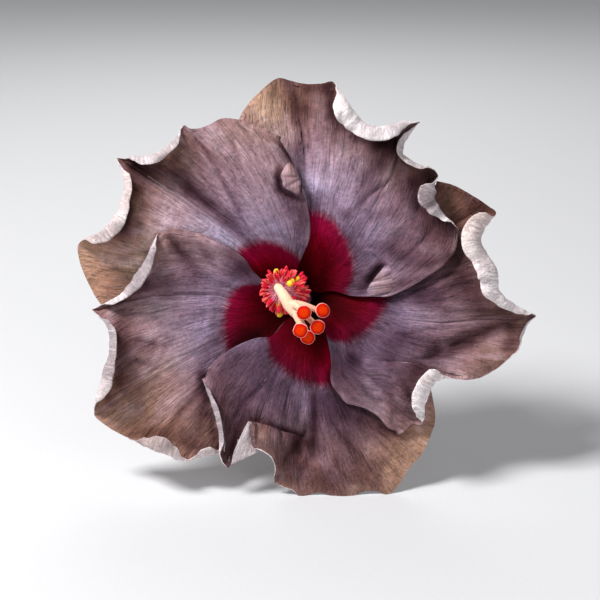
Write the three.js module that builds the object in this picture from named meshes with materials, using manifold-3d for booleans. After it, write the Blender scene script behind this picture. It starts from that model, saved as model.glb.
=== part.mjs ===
// A picked hibiscus flower at rest: five ruffled petals, the pistil, the calyx and the stalk.
// Lengths are millimetres. In the flower's own frame x is right, y is back and z is up across its face.
import * as THREE from 'three';
import Module from 'manifold-3d';

const wasm = await Module();
wasm.setup();
const { Manifold, Mesh: SolidMesh } = wasm;

// How the flower stands
const TILT = THREE.MathUtils.degToRad(20); // its face looks this far upward
const THROAT_HEIGHT = 60.6; // from the floor to the middle of the face

// The funnel that all five petals share
const FUNNEL_DEPTH = 45;
const FUNNEL_SPREAD = 12;
const LEAN = 545; // blades draw toward the axis by their forward reach over this
const FOLD_START = 8; // folds die away toward the throat from here
const FOLD_FADE = 20;

// The petal blades
const BLADE = 0.7; // thickness
const CLAW_RADIUS = 3.8;
const CLAW_HALF_ANGLE = 33;
const PETAL_PITCH = 72; // degrees from one petal to the next
const PETAL_STEP = 3; // how far each petal stands over the next one round
const RIM_LENGTH = 1.2; // the least width of the rim strip
const COLUMNS = 22; // at least this many steps along a rim
const ROWS = 10;
const RIM_ROWS = 6;
const LEAST_BEND = 0.01; // radians that even a flat rim turns
const LEAST_STEP = 0.1; // the inner rim line may not shrink under this share of its mean step
const SMOOTHING_PASSES = 60;
const EDGE_SHARE = 0.45; // how much closer rows stand near the claw

// Surfaces
const MAUVE = { color: 0x8a7082, roughness: 0.6 };
const CRIMSON = { color: 0xb8182e, roughness: 0.55 };
const CREAM = { color: 0xf6dcb4, roughness: 0.5 };
const ORANGE_RED = { color: 0xe2380c, roughness: 0.7 };
const LEAF_GREEN = { color: 0x6f8a3e, roughness: 0.6 };
const STALK_GREEN = { color: 0x7d8b45, roughness: 0.6 };

// The sides of each round limb, and its steps along
const COLUMN_CUTS = [12, 12];
const FILAMENT_CUTS = [3, 2];
const STYLE_CUTS = [8, 7];
const ARM_CUTS = [6, 6];
const BRACT_CUTS = [4, 6];
const STALK_CUTS = [10, 18];

// The pale flap that turns back in the lower petal's notch, between its left and right [x, z] lines
const FLAP = {
  left: [[-18.2, -40.4], [-20, -44], [-23.2, -51], [-23.8, -54.6]],
  right: [[-17.5, -40.8], [-17.3, -44], [-17.2, -48.2], [-15.2, -50.6]],
  lift: 4.3,
  swell: 0.6, // how far its middle stands out
  columns: 5,
  rows: 7,
};

// Each petal has the bearing of its middle, its two side edges from the claw outward, and its rim.
// A side point is [x, z]. A rim point is [x, z, curl in degrees, curl radius, forward lift].
const PETALS = {
  petal_1: {
    bearing: 66,
    hidden: [[-2.6, 5.9], [-6.6, 15.7], [-11.8, 27.2], [-17, 42], [-20.7, 51.8]],
    open: [
      [5.2, 2], [9.8, 2.3], [15.7, 0.7], [22.6, 0.5], [27.5, 0.5],
      [31.5, 2], [36, 4.3], [40.5, 7.2], [45.9, 10.8], [49.8, 16.2],
    ],
    rim: [
      [-21.6, 57.7, 0, 0, 0], [-20, 61.3, 0, 0, 0], [-15.1, 66.9, 0, 0, -1], [-8.5, 72.1, 0, 0, -3],
      [-4.6, 71.3, 0, 0, -3], [0.7, 70.2, 0, 0, -4], [5.9, 70.3, 0, 0, -2], [9.3, 71, 20, 1, 0],
      [10.9, 68.5, 130, 3.2, 2], [13.5, 65, 174, 5.3, 3], [16.6, 61.4, 186, 5.7, 4],
      [19.7, 58.6, 190, 5.4, 4], [22.8, 57.1, 190, 4.9, 4], [26, 56.7, 188, 4.6, 3],
      [29.5, 57.8, 184, 4, 2.5], [33, 58.5, 178, 3, 1.5], [36, 58.3, 150, 1.9, 1],
      [37.9, 57.8, 100, 1, 0.3], [35.6, 55, 150, 1.5, 1], [33.5, 52.7, 166, 1.8, 1.5],
      [32.3, 50.2, 172, 1.9, 2], [32.6, 47.8, 174, 2, 2], [34.8, 45.6, 172, 2.1, 2],
      [38.1, 43.8, 165, 2, 1], [41.7, 42.5, 120, 1.4, 0], [44, 40.2, 0, 1.2, -1],
      [43.1, 38, 120, 2.4, 0.5], [42.4, 36, 178, 4.4, 2], [42.3, 33.8, 188, 4.5, 3],
      [43.8, 30.6, 188, 3.4, 3.5], [46.2, 26.9, 175, 2, 4], [48.9, 24.6, 120, 1.2, 4.5],
      [51.1, 22, 0, 1, 4.5],
    ],
  },
  petal_2: {
    bearing: -6,
    hidden: [[8.5, 3.9], [15.1, 9.2], [24.3, 16.4], [33.1, 24.9], [39.7, 33.1]],
    open: [
      [4.6, -5.6], [6.6, -9.8], [7.9, -14.4], [8.9, -21], [8.9, -27.9], [10.8, -30.8],
      [13.8, -34.4], [16.4, -35.2], [20.3, -36.4], [24.3, -39], [27.5, -42.6],
    ],
    rim: [
      [43.6, 38.4, 0, 0, -2], [48.9, 37, 0, 0, -3], [54.4, 34.1, 0, 0, -3], [60, 30.5, 0, 1, -3],
      [63, 27.9, 30, 1.2, -2.5], [60.9, 25.2, 165, 4.6, 1.5], [58.4, 21.6, 184, 5.8, 3],
      [57.9, 18.6, 190, 5.6, 4], [59.8, 14.2, 192, 4.4, 4], [61.9, 11.3, 188, 5.1, 4],
      [63.5, 7.9, 190, 6, 4], [63.9, 3.6, 188, 4.8, 3.5], [65.6, 0.3, 184, 3.4, 3],
      [69.3, -2.9, 176, 2.2, 2], [73, -4.8, 160, 1.5, 1], [76.1, -5.9, 30, 0.9, -1],
      [74.1, -7.9, 140, 1.2, -0.5], [71.8, -12.4, 160, 1.4, 0], [70.5, -16.6, 110, 1, 0.5],
      [65.9, -21.3, 40, 0.8, 1], [62, -23.9, 20, 0.8, 1], [57.7, -26.2, 0, 0, 1],
      [53.8, -26.9, 0, 0, 1], [49.8, -26.5, 40, 1, 0], [46.8, -26.2, 130, 2.6, 0],
      [43.9, -27, 182, 4.6, 2], [42.2, -29.4, 190, 4.8, 3], [40.7, -32, 190, 4.8, 3],
      [39.6, -35, 188, 4.2, 2], [39.2, -39, 172, 3, 1], [38.4, -41.3, 40, 1, 0],
      [35.4, -41.3, 0, 1, 0], [33.1, -43.6, 0, 1, 0], [30.8, -44.9, 0, 1, -1],
    ],
  },
  petal_3: {
    bearing: -78,
    flap: FLAP,
    hidden: [[4.6, -6.6], [10.2, -13.1], [20, -21], [29.8, -26.2], [36.4, -27.9]],
    open: [[-6.2, -7.5], [-10.8, -12.5], [-15.4, -13.1], [-21, -15.1], [-25.9, -18], [-30.5, -22]],
    rim: [
      [41.3, -28.5, 0, 0, -1], [42.3, -33.4, 0, 0, -2], [43, -40, 0, 0, -2],
      [41.3, -45.6, 0, 0, -1], [38.4, -51.5, 0, 0, 0], [34.8, -55.4, 0, 0, 0],
      [31.5, -60.7, 0, 0, 0], [29.2, -63.3, 0, 0, 0], [26.9, -65, 0, 0, 0], [24.9, -63.5, 0, 0, 0],
      [20.3, -63.2, 0, 0, 0], [15.1, -65, 0, 0, 0], [10.2, -65, 0, 0, 0], [5.2, -63.6, 0, 0, 0],
      [-1.3, -65, 0, 1, 0], [-3.9, -63, 50, 1, 0], [-6.9, -61.8, 60, 1, 0], [-9.5, -60.7, 0, 1, 0],
      [-9.8, -58.4, 0, 1, 1], [-9.5, -55.7, 90, 1.2, 3], [-11.1, -52.5, 110, 1.4, 4],
      [-13.8, -50.5, 110, 1.4, 5], [-16.9, -49.2, 30, 1, 5], [-17.4, -46.4, 0, 1, 5],
      [-17.6, -43.4, 0, 1, 5], [-17.6, -41.1, 0, 1, 4], [-19.2, -44.3, 0, 1, 4],
      [-21.2, -48.4, 0, 1, 4], [-23.3, -52.7, 0, 1, 4], [-24.9, -55.7, 0, 1, 4],
      [-26.9, -52.1, 110, 1.2, 4], [-27.2, -46.6, 165, 1.6, 4], [-29.5, -37.4, 175, 1.8, 4],
      [-31.5, -30.8, 160, 1.5, 3], [-33.4, -26.6, 0, 1, 1],
    ],
  },
  petal_4: {
    bearing: -150,
    hidden: [[-4.6, -7.9], [-8.9, -17], [-13.4, -26.9], [-17.7, -36.7]],
    open: [
      [-6.6, 2.6], [-11.8, 4.6], [-16.4, 8.5], [-19.7, 13.1], [-23, 15.4],
      [-28.5, 18.7], [-34.1, 21.3], [-38.7, 22], [-43.9, 22.6],
    ],
    rim: [
      [-21.6, -45.9, 0, 0, -1], [-24.2, -49.2, 60, 1.2, -1], [-27, -51.2, 150, 2.2, 0.5],
      [-30, -52, 180, 2.9, 1], [-33.4, -52.5, 178, 2.6, 1], [-36, -53, 150, 1.6, 0.5],
      [-38, -53.4, 150, 1, 0.2], [-40, -53, 150, 1.8, 0.5], [-43, -52.2, 178, 3.6, 1.5],
      [-46.5, -51.2, 185, 4.6, 2], [-50.5, -49.6, 185, 4.6, 2], [-53.7, -47.9, 172, 3, 1],
      [-56.8, -46.2, 60, 1.2, 0], [-60.3, -44.6, 0, 0, -1], [-65.2, -41.6, 0, 0, -2],
      [-68.7, -38.4, 0, 1, -3], [-68.3, -35.4, 110, 1.5, -1], [-67.8, -31.8, 178, 2.6, 1],
      [-66.6, -28, 184, 3.2, 2], [-65.3, -23.5, 184, 3, 2.5], [-64.3, -19.3, 180, 2.5, 2.5],
      [-63.8, -15.5, 180, 2.5, 2.5], [-63.9, -11.6, 178, 2.4, 2], [-65, -8.4, 165, 2, 1],
      [-67.2, -6, 110, 1.2, 0], [-69.5, -3.8, 0, 1, -2], [-67, -2.9, 90, 1.1, -1],
      [-62.4, -0.9, 160, 1.9, 1], [-59.2, 2.2, 178, 2.5, 2], [-56, 6.4, 184, 3.4, 3],
      [-53, 11.1, 184, 3.3, 3], [-50.5, 15.7, 180, 2.2, 3], [-48.9, 19.4, 140, 1.4, 2],
      [-47.9, 21.6, 0, 1, 0],
    ],
  },
  petal_5: {
    bearing: 138,
    hidden: [[-6.2, 0.7], [-16.1, -0.7], [-29.2, -1.6], [-43.9, -3.3], [-55.4, -4.3]],
    open: [
      [-1.3, 4.9], [-2, 9.8], [-0.7, 13.4], [1.6, 18.7], [2, 23.9],
      [0.7, 32.1], [-1, 37.4], [-2.3, 41.3], [-4.9, 46.9],
    ],
    rim: [
      [-63, -4.9, 0, 0, -1], [-66.6, -2, 0, 0, -2], [-70.2, 3.9, 0, 0, -4], [-73.4, 11.5, 0, 0, -5],
      [-74.1, 17.4, 0, 1, -4], [-72.3, 18.9, 110, 2.2, -1], [-69.3, 20.3, 172, 3.3, 1.5],
      [-66.3, 22.4, 184, 3.9, 3], [-63.3, 25.6, 188, 3.9, 4], [-60.7, 29.4, 186, 2.9, 4],
      [-59.5, 32.8, 186, 2.4, 4], [-59.1, 36.4, 184, 2.6, 4], [-59.5, 40, 178, 2.5, 3],
      [-60.3, 43.2, 130, 1.5, 1], [-61.3, 45.9, 0, 1, -1], [-58.6, 45.4, 60, 1, 0],
      [-56.2, 46.1, 150, 2.1, 0.5], [-53.1, 46.2, 180, 2.5, 1.5], [-49.8, 46.9, 182, 2.7, 2],
      [-46.6, 48.8, 180, 2.7, 2], [-43, 51.3, 172, 2.5, 2], [-40.9, 53.6, 140, 1.8, 1],
      [-39.3, 56.7, 0, 1, 0], [-37.4, 55.6, 0, 0, 0], [-34.4, 55.7, 0, 0, -1],
      [-31.5, 56.7, 0, 0, -1], [-26.9, 58.9, 0, 0, -1], [-21, 58.4, 0, 0, -1],
      [-15.7, 56.4, 0, 0, 0], [-7.5, 52.8, 0, 0, 0],
    ],
  },
};

// Long folds that press through every layer: [x, z] outer end, [x, z] inner end, height and half width
const FOLDS = [
  [-5.6, 71.5, -0.7, 37, -3, 5],
  [-11.8, 66.6, -4.6, 35.4, 1.5, 6],
  [8.5, 68.2, 5.9, 32.1, 2, 8],
  [-44.6, 43.3, -18.4, 18.4, -4, 4.5],
  [-60.3, 27.2, -22.6, 16.4, 3, 7],
  [-22.6, 55.1, -12.8, 23.9, 2, 9],
  [66.5, -10.5, 38, -23.5, -3, 4],
  [66, -19, 48, -26, 2.4, 4.5],
  [64.3, -0.7, 31.5, -2.3, 1.5, 7],
  [-1.3, -49.8, 2.6, -26.9, -3, 3.5],
  [13.4, -56.4, 10.2, -33.4, 2, 8],
  [-11.1, -33.4, -6.2, -23.6, 2, 8],
  [-42.3, 12.5, -22.6, 4.3, -1.5, 6],
  [-60.3, -17, -25.9, -7.2, 1.5, 9],
  [-47.2, -43.3, -22.6, -20.3, -1.5, 8],
  [-34.1, -43.3, -19.3, -22, 1.5, 7],
];

// The pistil, as [x, z, forward] points
const COLUMN_PATH = [[0, 0, -33.8], [-0.6, 0.2, -26], [-2.6, 0.9, -14], [-5.4, 1.9, -3], [-8, 2.9, 8.6]];
const COLUMN_RADII = [2.7, 2.3, 1.9, 1.7, 1.5];
const STAMENS = 40;
const STAMEN_ZONE = [0.7, 0.96]; // where on the column the stamens grow
const STAMEN_PITCH = [-14, 46]; // degrees above the column's side, from the lowest stamen to the highest
const STAMEN_REACH = 5.9;
const STAMEN_SPREAD = { turn: 0.3, pitch: 12, reach: 0.24 }; // how far single stamens stray
const STAMEN_BEND = 0.4;
const FILAMENT_RADII = [0.42, 0.32];
const ANTHER = [1.5, 1.15, 0.85]; // half length, half width and half thickness
const STYLE_PATH = [
  [-8.1, 2.95, 9.15], [-8.2, 3.2, 11], [-6.2, 0.2, 14.2], [-4.2, -3.2, 17.2], [-3, -5.4, 18.8],
];
const STYLE_RADII = [1.5, 1.55, 1.9, 2, 1.5];
const ARM_ROOT = 0.62; // the share of the style's length at which its arms part
const STYLE_LEAN = [0.61, -0.79, 0]; // the side to which the style bends
const STYLE_CLEARANCE = 42; // degrees by which stamens on that side lie lower
const ARM_RADII = [1.3, 1.2, 0.95, 0.8];
const ARM_MOUTH = 2.2; // an arm runs straight for this far before its pad
const ARM_BOW = [0.18, 0.36, 0.29]; // how far an arm's middle stands off the straight line
const PADS = {
  stigma_1: { at: [-0.15, -4.5, 24.5], facing: [0.05, -0.15, 1] },
  stigma_2: { at: [5.65, -4, 20.5], facing: [0.3, 0.05, 1] },
  stigma_3: { at: [4.1, -9, 22], facing: [0.2, -0.2, 1] },
  stigma_4: { at: [-1.1, -10, 23.5], facing: [-0.1, -0.25, 1] },
  stigma_5: { at: [1.1, -12.2, 20.3], facing: [0.05, -0.4, 1] },
};
const PAD_RADIUS = 2.25;
const PAD_HEIGHT = 1.3;
const SEAT = 0.3; // the gap where one piece touches another

// The calyx, as [radius, forward] profiles from its middle out to a lobe's tip
const CALYX_OUTSIDE = [
  [0, -43.5], [2.4, -43.2], [4.6, -41], [6.6, -36.5], [7.5, -32], [8.5, -28.6], [10.8, -24.9],
  [14, -21], [17.4, -18.2],
];
const CALYX_INSIDE = [
  [0, -34.8], [2.6, -34.8], [5.2, -34.5], [6.2, -32.6], [6.8, -30.2], [7.8, -27.5], [10.2, -24],
  [13.6, -20.2], [17.1, -17.5],
];
const CALYX_CUP = 0.66; // the share of the profile below the lobes
const CALYX_LOBES = 5;
const CALYX_BEARING = 30;
const CALYX_POINT = 1.2; // how sharply the lobes come to their tips
const BRACTS = 7;
const BRACT_PATH = [[3.4, -45.1], [6.6, -43.6], [9.4, -38.6], [10.4, -33.6], [12.4, -28.8]];
const BRACT_RADII = [0.9, 1.15, 1.1, 0.8, 0.3];
const BRACT_STEP = 1.2; // every second bract is this much longer
const BRACT_BEARING = 0.2; // radians, of the first bract
const COLLAR = [[2.5, -46.4], [4.3, -46.4], [4.6, -45.15], [4.3, -43.9], [2.5, -43.9], [2.5, -46.4]];

// The stalk: two points in the flower's frame under the calyx, then points in the room's frame
// as it bends down to the floor and lies on its cut end
const STALK_TOP = [[0, 0, -43.8], [0, 0, -49]];
const STALK_FLOOR_END = [
  [-4, 55, 40], [-12, 68, 29], [-21, 79, 15], [-28, 87, 4.6], [-31.5, 91.5, 1.7], [-34.5, 95.5, 1.5],
];
const STALK_RADII = [2.1, 1.9, 2.2, 1.6, 1.6, 1.6, 1.6, 1.6];

const toFace = (x, z, forward) => new THREE.Vector3(x, -forward, z);

// A closed mesh from points and triangles
function solidGeometry(points, triangles) {
  const geometry = new THREE.BufferGeometry();
  const places = points.flatMap((point) => point.toArray());
  geometry.setAttribute('position', new THREE.Float32BufferAttribute(places, 3));
  geometry.setIndex(triangles);
  geometry.computeVertexNormals();
  return geometry;
}

// The same mesh as a solid for joining, and back again
function toSolid(geometry) {
  return new Manifold(new SolidMesh({
    numProp: 3,
    vertProperties: new Float32Array(geometry.getAttribute('position').array),
    triVerts: new Uint32Array(geometry.getIndex().array),
  }));
}

function fromSolid(solid) {
  const mesh = solid.getMesh();
  const geometry = new THREE.BufferGeometry();
  const places = Float32Array.from(mesh.vertProperties);
  geometry.setAttribute('position', new THREE.Float32BufferAttribute(places, 3));
  geometry.setIndex(Array.from(mesh.triVerts));
  geometry.computeVertexNormals();
  return geometry;
}

const smooth = (s) => s * s * (3 - 2 * s);

// A smooth line through points
function smoothLine(points) {
  return new THREE.CatmullRomCurve3(points, false, 'centripetal');
}

// A smooth line through flat pairs, such as [x, z] or [radius, forward]
function lineThrough(pairs) {
  return smoothLine(pairs.map(([x, y]) => new THREE.Vector3(x, y, 0)));
}

// The height of the long folds at a place on the face
function foldHeight(x, z) {
  let height = 0;
  for (const [x0, z0, x1, z1, rise, half] of FOLDS) {
    const along = new THREE.Vector2(x1 - x0, z1 - z0);
    const from = new THREE.Vector2(x - x0, z - z0);
    const share = THREE.MathUtils.clamp(from.dot(along) / along.lengthSq(), 0, 1);
    const away = from.sub(along.multiplyScalar(share)).length();
    height += rise * Math.exp(-((away / half) ** 2)) * (1 - share ** 2);
  }
  return height * THREE.MathUtils.clamp((Math.hypot(x, z) - FOLD_START) / FOLD_FADE, 0, 1);
}

// A point of a petal: the shared funnel and folds, and the step that lifts it over the next petal
function petalPoint(x, z, bearing, rise) {
  const angle = THREE.MathUtils.radToDeg(Math.atan2(z, x));
  const turn = ((bearing - angle + 540) % 360) - 180;
  const funnel = -FUNNEL_DEPTH * Math.exp(-Math.hypot(x, z) / FUNNEL_SPREAD);
  const forward = funnel + foldHeight(x, z) + (PETAL_STEP * turn) / PETAL_PITCH + rise;
  const narrow = (LEAN - forward) / LEAN;
  return toFace(x * narrow, z * narrow, forward);
}

// The rim at regular steps: its place, its outward direction and how it curls
function rimSamples(rim) {
  const line = lineThrough(rim);
  const spans = rim.slice(1).map(([x, z], k) => Math.hypot(x - rim[k][0], z - rim[k][1]));
  const whole = spans.reduce((sum, span) => sum + span, 0);
  const samples = [];
  spans.forEach((span, k) => {
    const steps = Math.max(1, Math.round((span / whole) * COLUMNS));
    const last = k === spans.length - 1 ? 1 : 0;
    for (let step = 0; step < steps + last; step += 1) {
      const share = step / steps;
      const t = (k + share) / spans.length;
      const place = line.getPoint(t);
      const along = line.getTangent(t);
      const between = (n) => THREE.MathUtils.lerp(rim[k][n], rim[k + 1][n], smooth(share));
      const [curl, radius, lift] = [2, 3, 4].map(between);
      samples.push({ place, outward: new THREE.Vector2(-along.y, along.x), curl, radius, lift });
    }
  });
  return samples;
}

// The line inside the curl. Where the rim bends so sharply that it would turn back, it is drawn smooth
function innerLine(samples) {
  const line = samples.map(({ start }) => start.clone());
  const steps = line.slice(1).map((point, k) => point.distanceTo(line[k]));
  const least = (LEAST_STEP * steps.reduce((sum, step) => sum + step, 0)) / steps.length;
  const turnsBack = (k) => {
    const { outward } = samples[k];
    const along = new THREE.Vector2(outward.y, -outward.x);
    return line[k + 1].clone().sub(line[k]).dot(along) < least;
  };
  for (let pass = 0; pass < SMOOTHING_PASSES; pass += 1) {
    const bad = steps.map((_, k) => k).filter(turnsBack);
    if (!bad.length) break;
    const near = new Set(bad.flatMap((k) => [k - 1, k, k + 1, k + 2]));
    const before = line.map((point) => point.clone());
    for (const k of near) {
      if (k > 0 && k < line.length - 1) {
        const mean = before[k - 1].clone().add(before[k + 1]).multiplyScalar(0.5);
        line[k].lerp(mean, 0.5);
      }
    }
  }
  return line;
}

// The middle surface of a petal as rows of points from the claw to the curled rim
function petalRows({ bearing, hidden, open, rim }) {
  const samples = rimSamples(rim).map((sample) => {
    const bend = Math.max(THREE.MathUtils.degToRad(sample.curl), LEAST_BEND);
    const length = Math.max(bend * sample.radius, RIM_LENGTH);
    const radius = length / bend;
    const start = new THREE.Vector2(sample.place.x, sample.place.y);
    start.addScaledVector(sample.outward, -radius * Math.sin(Math.min(bend, Math.PI / 2)));
    return { ...sample, bend, radius, start };
  });
  const inner = innerLine(samples);
  const last = samples.length - 1;
  const claw = samples.map((_, column) => {
    const turn = CLAW_HALF_ANGLE * (1 - (2 * column) / last);
    const angle = THREE.MathUtils.degToRad(bearing + turn);
    return new THREE.Vector2(Math.cos(angle), Math.sin(angle)).multiplyScalar(CLAW_RADIUS);
  });
  const side = (points, column) => {
    const ends = [claw[column], inner[column]].map((point) => point.toArray());
    return lineThrough([ends[0], ...points, ends[1]]);
  };
  const left = side(hidden, 0);
  const right = side(open, last);
  const rows = [];
  for (let row = 0; row <= ROWS; row += 1) {
    const share = row / ROWS;
    const v = share * (1 - EDGE_SHARE * (1 - share));
    const [l, r] = [left.getPointAt(v), right.getPointAt(v)];
    rows.push(samples.map(({ lift }, column) => {
      const u = column / last;
      const blend = (axis) => (1 - u) * l[axis] + u * r[axis]
        + (1 - v) * (claw[column][axis] - (1 - u) * claw[0][axis] - u * claw[last][axis])
        + v * (inner[column][axis] - (1 - u) * inner[0][axis] - u * inner[last][axis]);
      return petalPoint(blend('x'), blend('y'), bearing, lift * v ** 3);
    }));
  }
  for (let row = 1; row <= RIM_ROWS; row += 1) {
    rows.push(samples.map(({ start, outward, bend, radius, lift }, column) => {
      const share = row / RIM_ROWS;
      const rise = radius * (1 - Math.cos(bend * share));
      const place = inner[column].clone().lerp(start, share);
      place.addScaledVector(outward, radius * Math.sin(bend * share));
      return petalPoint(place.x, place.y, bearing, lift + rise);
    }));
  }
  return rows;
}

// The middle surface of the flap in the lower petal's notch
function flapRows({ left, right, lift, swell, columns, rows }, bearing) {
  const [from, to] = [left, right].map(lineThrough);
  const grid = [];
  for (let row = rows - 1; row >= 0; row -= 1) {
    const s = row / (rows - 1);
    const line = [];
    for (let column = 0; column < columns; column += 1) {
      const t = column / (columns - 1);
      const place = from.getPointAt(s).lerp(to.getPointAt(s), t);
      line.push(petalPoint(place.x, place.y, bearing, lift + swell * s * Math.sin(Math.PI * t)));
    }
    grid.push(line);
  }
  return grid;
}

// The blade: both faces offset from the middle surface and cut into the same triangles, and its edges
function bladeGeometry(rows) {
  const [height, width] = [rows.length, rows[0].length];
  const { clamp } = THREE.MathUtils;
  const at = (row, column) => rows[clamp(row, 0, height - 1)][clamp(column, 0, width - 1)];
  const front = [];
  const back = [];
  for (let row = 0; row < height; row += 1) {
    for (let column = 0; column < width; column += 1) {
      const across = at(row, column + 1).clone().sub(at(row, column - 1));
      const outward = at(row + 1, column).clone().sub(at(row - 1, column));
      const normal = across.cross(outward).normalize();
      front.push(at(row, column).clone().addScaledVector(normal, BLADE / 2));
      back.push(at(row, column).clone().addScaledVector(normal, -BLADE / 2));
    }
  }
  const points = [...front, ...back];
  const triangles = [];
  const quad = (a, b, c, d) => triangles.push(a, b, c, a, c, d);
  const rear = front.length;
  for (let row = 0; row < height - 1; row += 1) {
    for (let column = 0; column < width - 1; column += 1) {
      const a = row * width + column;
      quad(a, a + 1, a + width + 1, a + width);
      quad(rear + a + 1, rear + a, rear + a + width, rear + a + width + 1);
    }
  }
  const border = [];
  for (let column = 0; column < width - 1; column += 1) border.push(column);
  for (let row = 0; row < height - 1; row += 1) border.push(row * width + width - 1);
  for (let column = width - 1; column > 0; column -= 1) border.push((height - 1) * width + column);
  for (let row = height - 1; row > 0; row -= 1) border.push(row * width);
  border.forEach((a, k) => {
    const b = border[(k + 1) % border.length];
    quad(b, a, rear + a, rear + b);
  });
  return solidGeometry(points, triangles);
}

// What would pass below the floor is pressed flat on it
function pressOnFloor(mesh) {
  mesh.updateWorldMatrix(true, false);
  const place = mesh.geometry.getAttribute('position');
  const point = new THREE.Vector3();
  for (let k = 0; k < place.count; k += 1) {
    mesh.localToWorld(point.fromBufferAttribute(place, k));
    if (point.z < 0) {
      mesh.worldToLocal(point.setZ(0));
      place.setXYZ(k, point.x, point.y, point.z);
    }
  }
}

// A round limb along a smooth line, with a radius for each of its points and flat ends
function limbGeometry(points, radii, [sides, steps]) {
  const line = smoothLine(points);
  const frames = line.computeFrenetFrames(steps, false);
  const ring = [];
  for (let step = 0; step <= steps; step += 1) {
    const share = step / steps;
    const centre = line.getPointAt(share);
    const span = Math.min(Math.floor(share * (radii.length - 1)), radii.length - 2);
    const radius = THREE.MathUtils.lerp(radii[span], radii[span + 1], share * (radii.length - 1) - span);
    for (let side = 0; side < sides; side += 1) {
      const angle = (side / sides) * Math.PI * 2;
      ring.push(centre.clone()
        .addScaledVector(frames.normals[step], radius * Math.cos(angle))
        .addScaledVector(frames.binormals[step], radius * Math.sin(angle)));
    }
  }
  const triangles = [];
  for (let step = 0; step < steps; step += 1) {
    for (let side = 0; side < sides; side += 1) {
      const a = step * sides + side;
      const b = step * sides + ((side + 1) % sides);
      triangles.push(a, b, b + sides, a, b + sides, a + sides);
    }
  }
  const end = steps * sides;
  for (let side = 1; side < sides - 1; side += 1) {
    triangles.push(0, side + 1, side);
    triangles.push(end, end + side, end + side + 1);
  }
  return solidGeometry(ring, triangles);
}

// Joins a turned shape's seam and poles so that it is closed
function closed(geometry) {
  const place = geometry.getAttribute('position');
  const found = new Map();
  const points = [];
  const renamed = [];
  for (let k = 0; k < place.count; k += 1) {
    const point = new THREE.Vector3().fromBufferAttribute(place, k);
    const key = point.toArray().map((value) => Math.round(value * 1e4)).join();
    if (!found.has(key)) {
      found.set(key, points.length);
      points.push(point);
    }
    renamed.push(found.get(key));
  }
  const index = Array.from(geometry.getIndex().array, (k) => renamed[k]);
  const triangles = [];
  for (let k = 0; k < index.length; k += 3) {
    const [a, b, c] = index.slice(k, k + 3);
    if (a !== b && b !== c && c !== a) triangles.push(a, b, c);
  }
  return solidGeometry(points, triangles);
}

// A repeatable draw from 0 to 1
function draws(seed) {
  let state = seed;
  return () => {
    state = (state * 16807) % 2147483647;
    return state / 2147483647;
  };
}

// The column with its stamens, which spray out round its upper end
function columnGeometry() {
  const path = COLUMN_PATH.map((point) => toFace(...point));
  const line = smoothLine(path);
  let solid = toSolid(limbGeometry(path, COLUMN_RADII, COLUMN_CUTS));
  const bean = closed(new THREE.SphereGeometry(1, 5, 3));
  const draw = draws(7);
  const stray = (amount) => amount * (draw() - 0.5);
  const golden = Math.PI * (3 - Math.sqrt(5));
  for (let k = 0; k < STAMENS; k += 1) {
    const share = (k + 0.5) / STAMENS;
    const t = THREE.MathUtils.lerp(STAMEN_ZONE[0], STAMEN_ZONE[1], share);
    const root = line.getPointAt(t);
    const axis = line.getTangentAt(t);
    const side = new THREE.Vector3(1, 0, 0).cross(axis).normalize();
    side.applyAxisAngle(axis, golden * k + stray(STAMEN_SPREAD.turn));
    const below = Math.max(0, side.dot(toFace(...STYLE_LEAN)));
    const height = THREE.MathUtils.lerp(...STAMEN_PITCH, share) - STYLE_CLEARANCE * below;
    const pitch = THREE.MathUtils.degToRad(height + stray(STAMEN_SPREAD.pitch));
    const way = side.multiplyScalar(Math.cos(pitch)).addScaledVector(axis, Math.sin(pitch));
    const tip = root.clone().addScaledVector(way, STAMEN_REACH * (1 + stray(STAMEN_SPREAD.reach)));
    const bend = root.clone().lerp(tip, 0.5).addScaledVector(axis, STAMEN_BEND);
    const filament = limbGeometry([root, bend, tip], FILAMENT_RADII, FILAMENT_CUTS);
    const up = new THREE.Vector3(0, 0, 1);
    const spin = new THREE.Quaternion().setFromUnitVectors(up, way);
    const roll = new THREE.Quaternion().setFromAxisAngle(up, draw() * Math.PI);
    const size = new THREE.Vector3(ANTHER[1], ANTHER[2], ANTHER[0]);
    const place = new THREE.Matrix4().compose(tip, spin.multiply(roll), size);
    const anther = bean.clone().applyMatrix4(place);
    solid = solid.add(toSolid(filament)).add(toSolid(anther));
  }
  return fromSolid(solid);
}

// The style: a short trunk, and five arms that part from it toward their pads
function styleGeometry() {
  const path = STYLE_PATH.map((point) => toFace(...point));
  const parting = smoothLine(path).getPointAt(ARM_ROOT);
  let solid = toSolid(limbGeometry(path, STYLE_RADII, STYLE_CUTS));
  for (const { at, facing } of Object.values(PADS)) {
    const toward = toFace(...facing).normalize();
    const end = toFace(...at).addScaledVector(toward, -SEAT);
    const mouth = end.clone().addScaledVector(toward, -ARM_MOUTH);
    const root = parting.clone().addScaledVector(mouth.clone().sub(parting).normalize(), SEAT);
    const middle = root.clone().lerp(mouth, 0.5).add(toFace(...ARM_BOW));
    const arm = limbGeometry([root, middle, mouth, end], ARM_RADII, ARM_CUTS);
    solid = solid.add(toSolid(arm));
  }
  return fromSolid(solid);
}

// A stigma pad: a shallow cushion with a round edge, its flat back toward the arm
function padGeometry({ at, facing }) {
  const profile = [[0, 0], [0.8, 0], [1, 0.3], [0.9, 0.7], [0.5, 0.95], [0, 1]];
  const points = profile.map(([r, h]) => new THREE.Vector2(r * PAD_RADIUS, h * PAD_HEIGHT));
  const pad = closed(new THREE.LatheGeometry(points, 12));
  const way = toFace(...facing).normalize();
  const turn = new THREE.Quaternion().setFromUnitVectors(new THREE.Vector3(0, 1, 0), way);
  return pad.applyMatrix4(new THREE.Matrix4().compose(toFace(...at), turn, new THREE.Vector3(1, 1, 1)));
}

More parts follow.
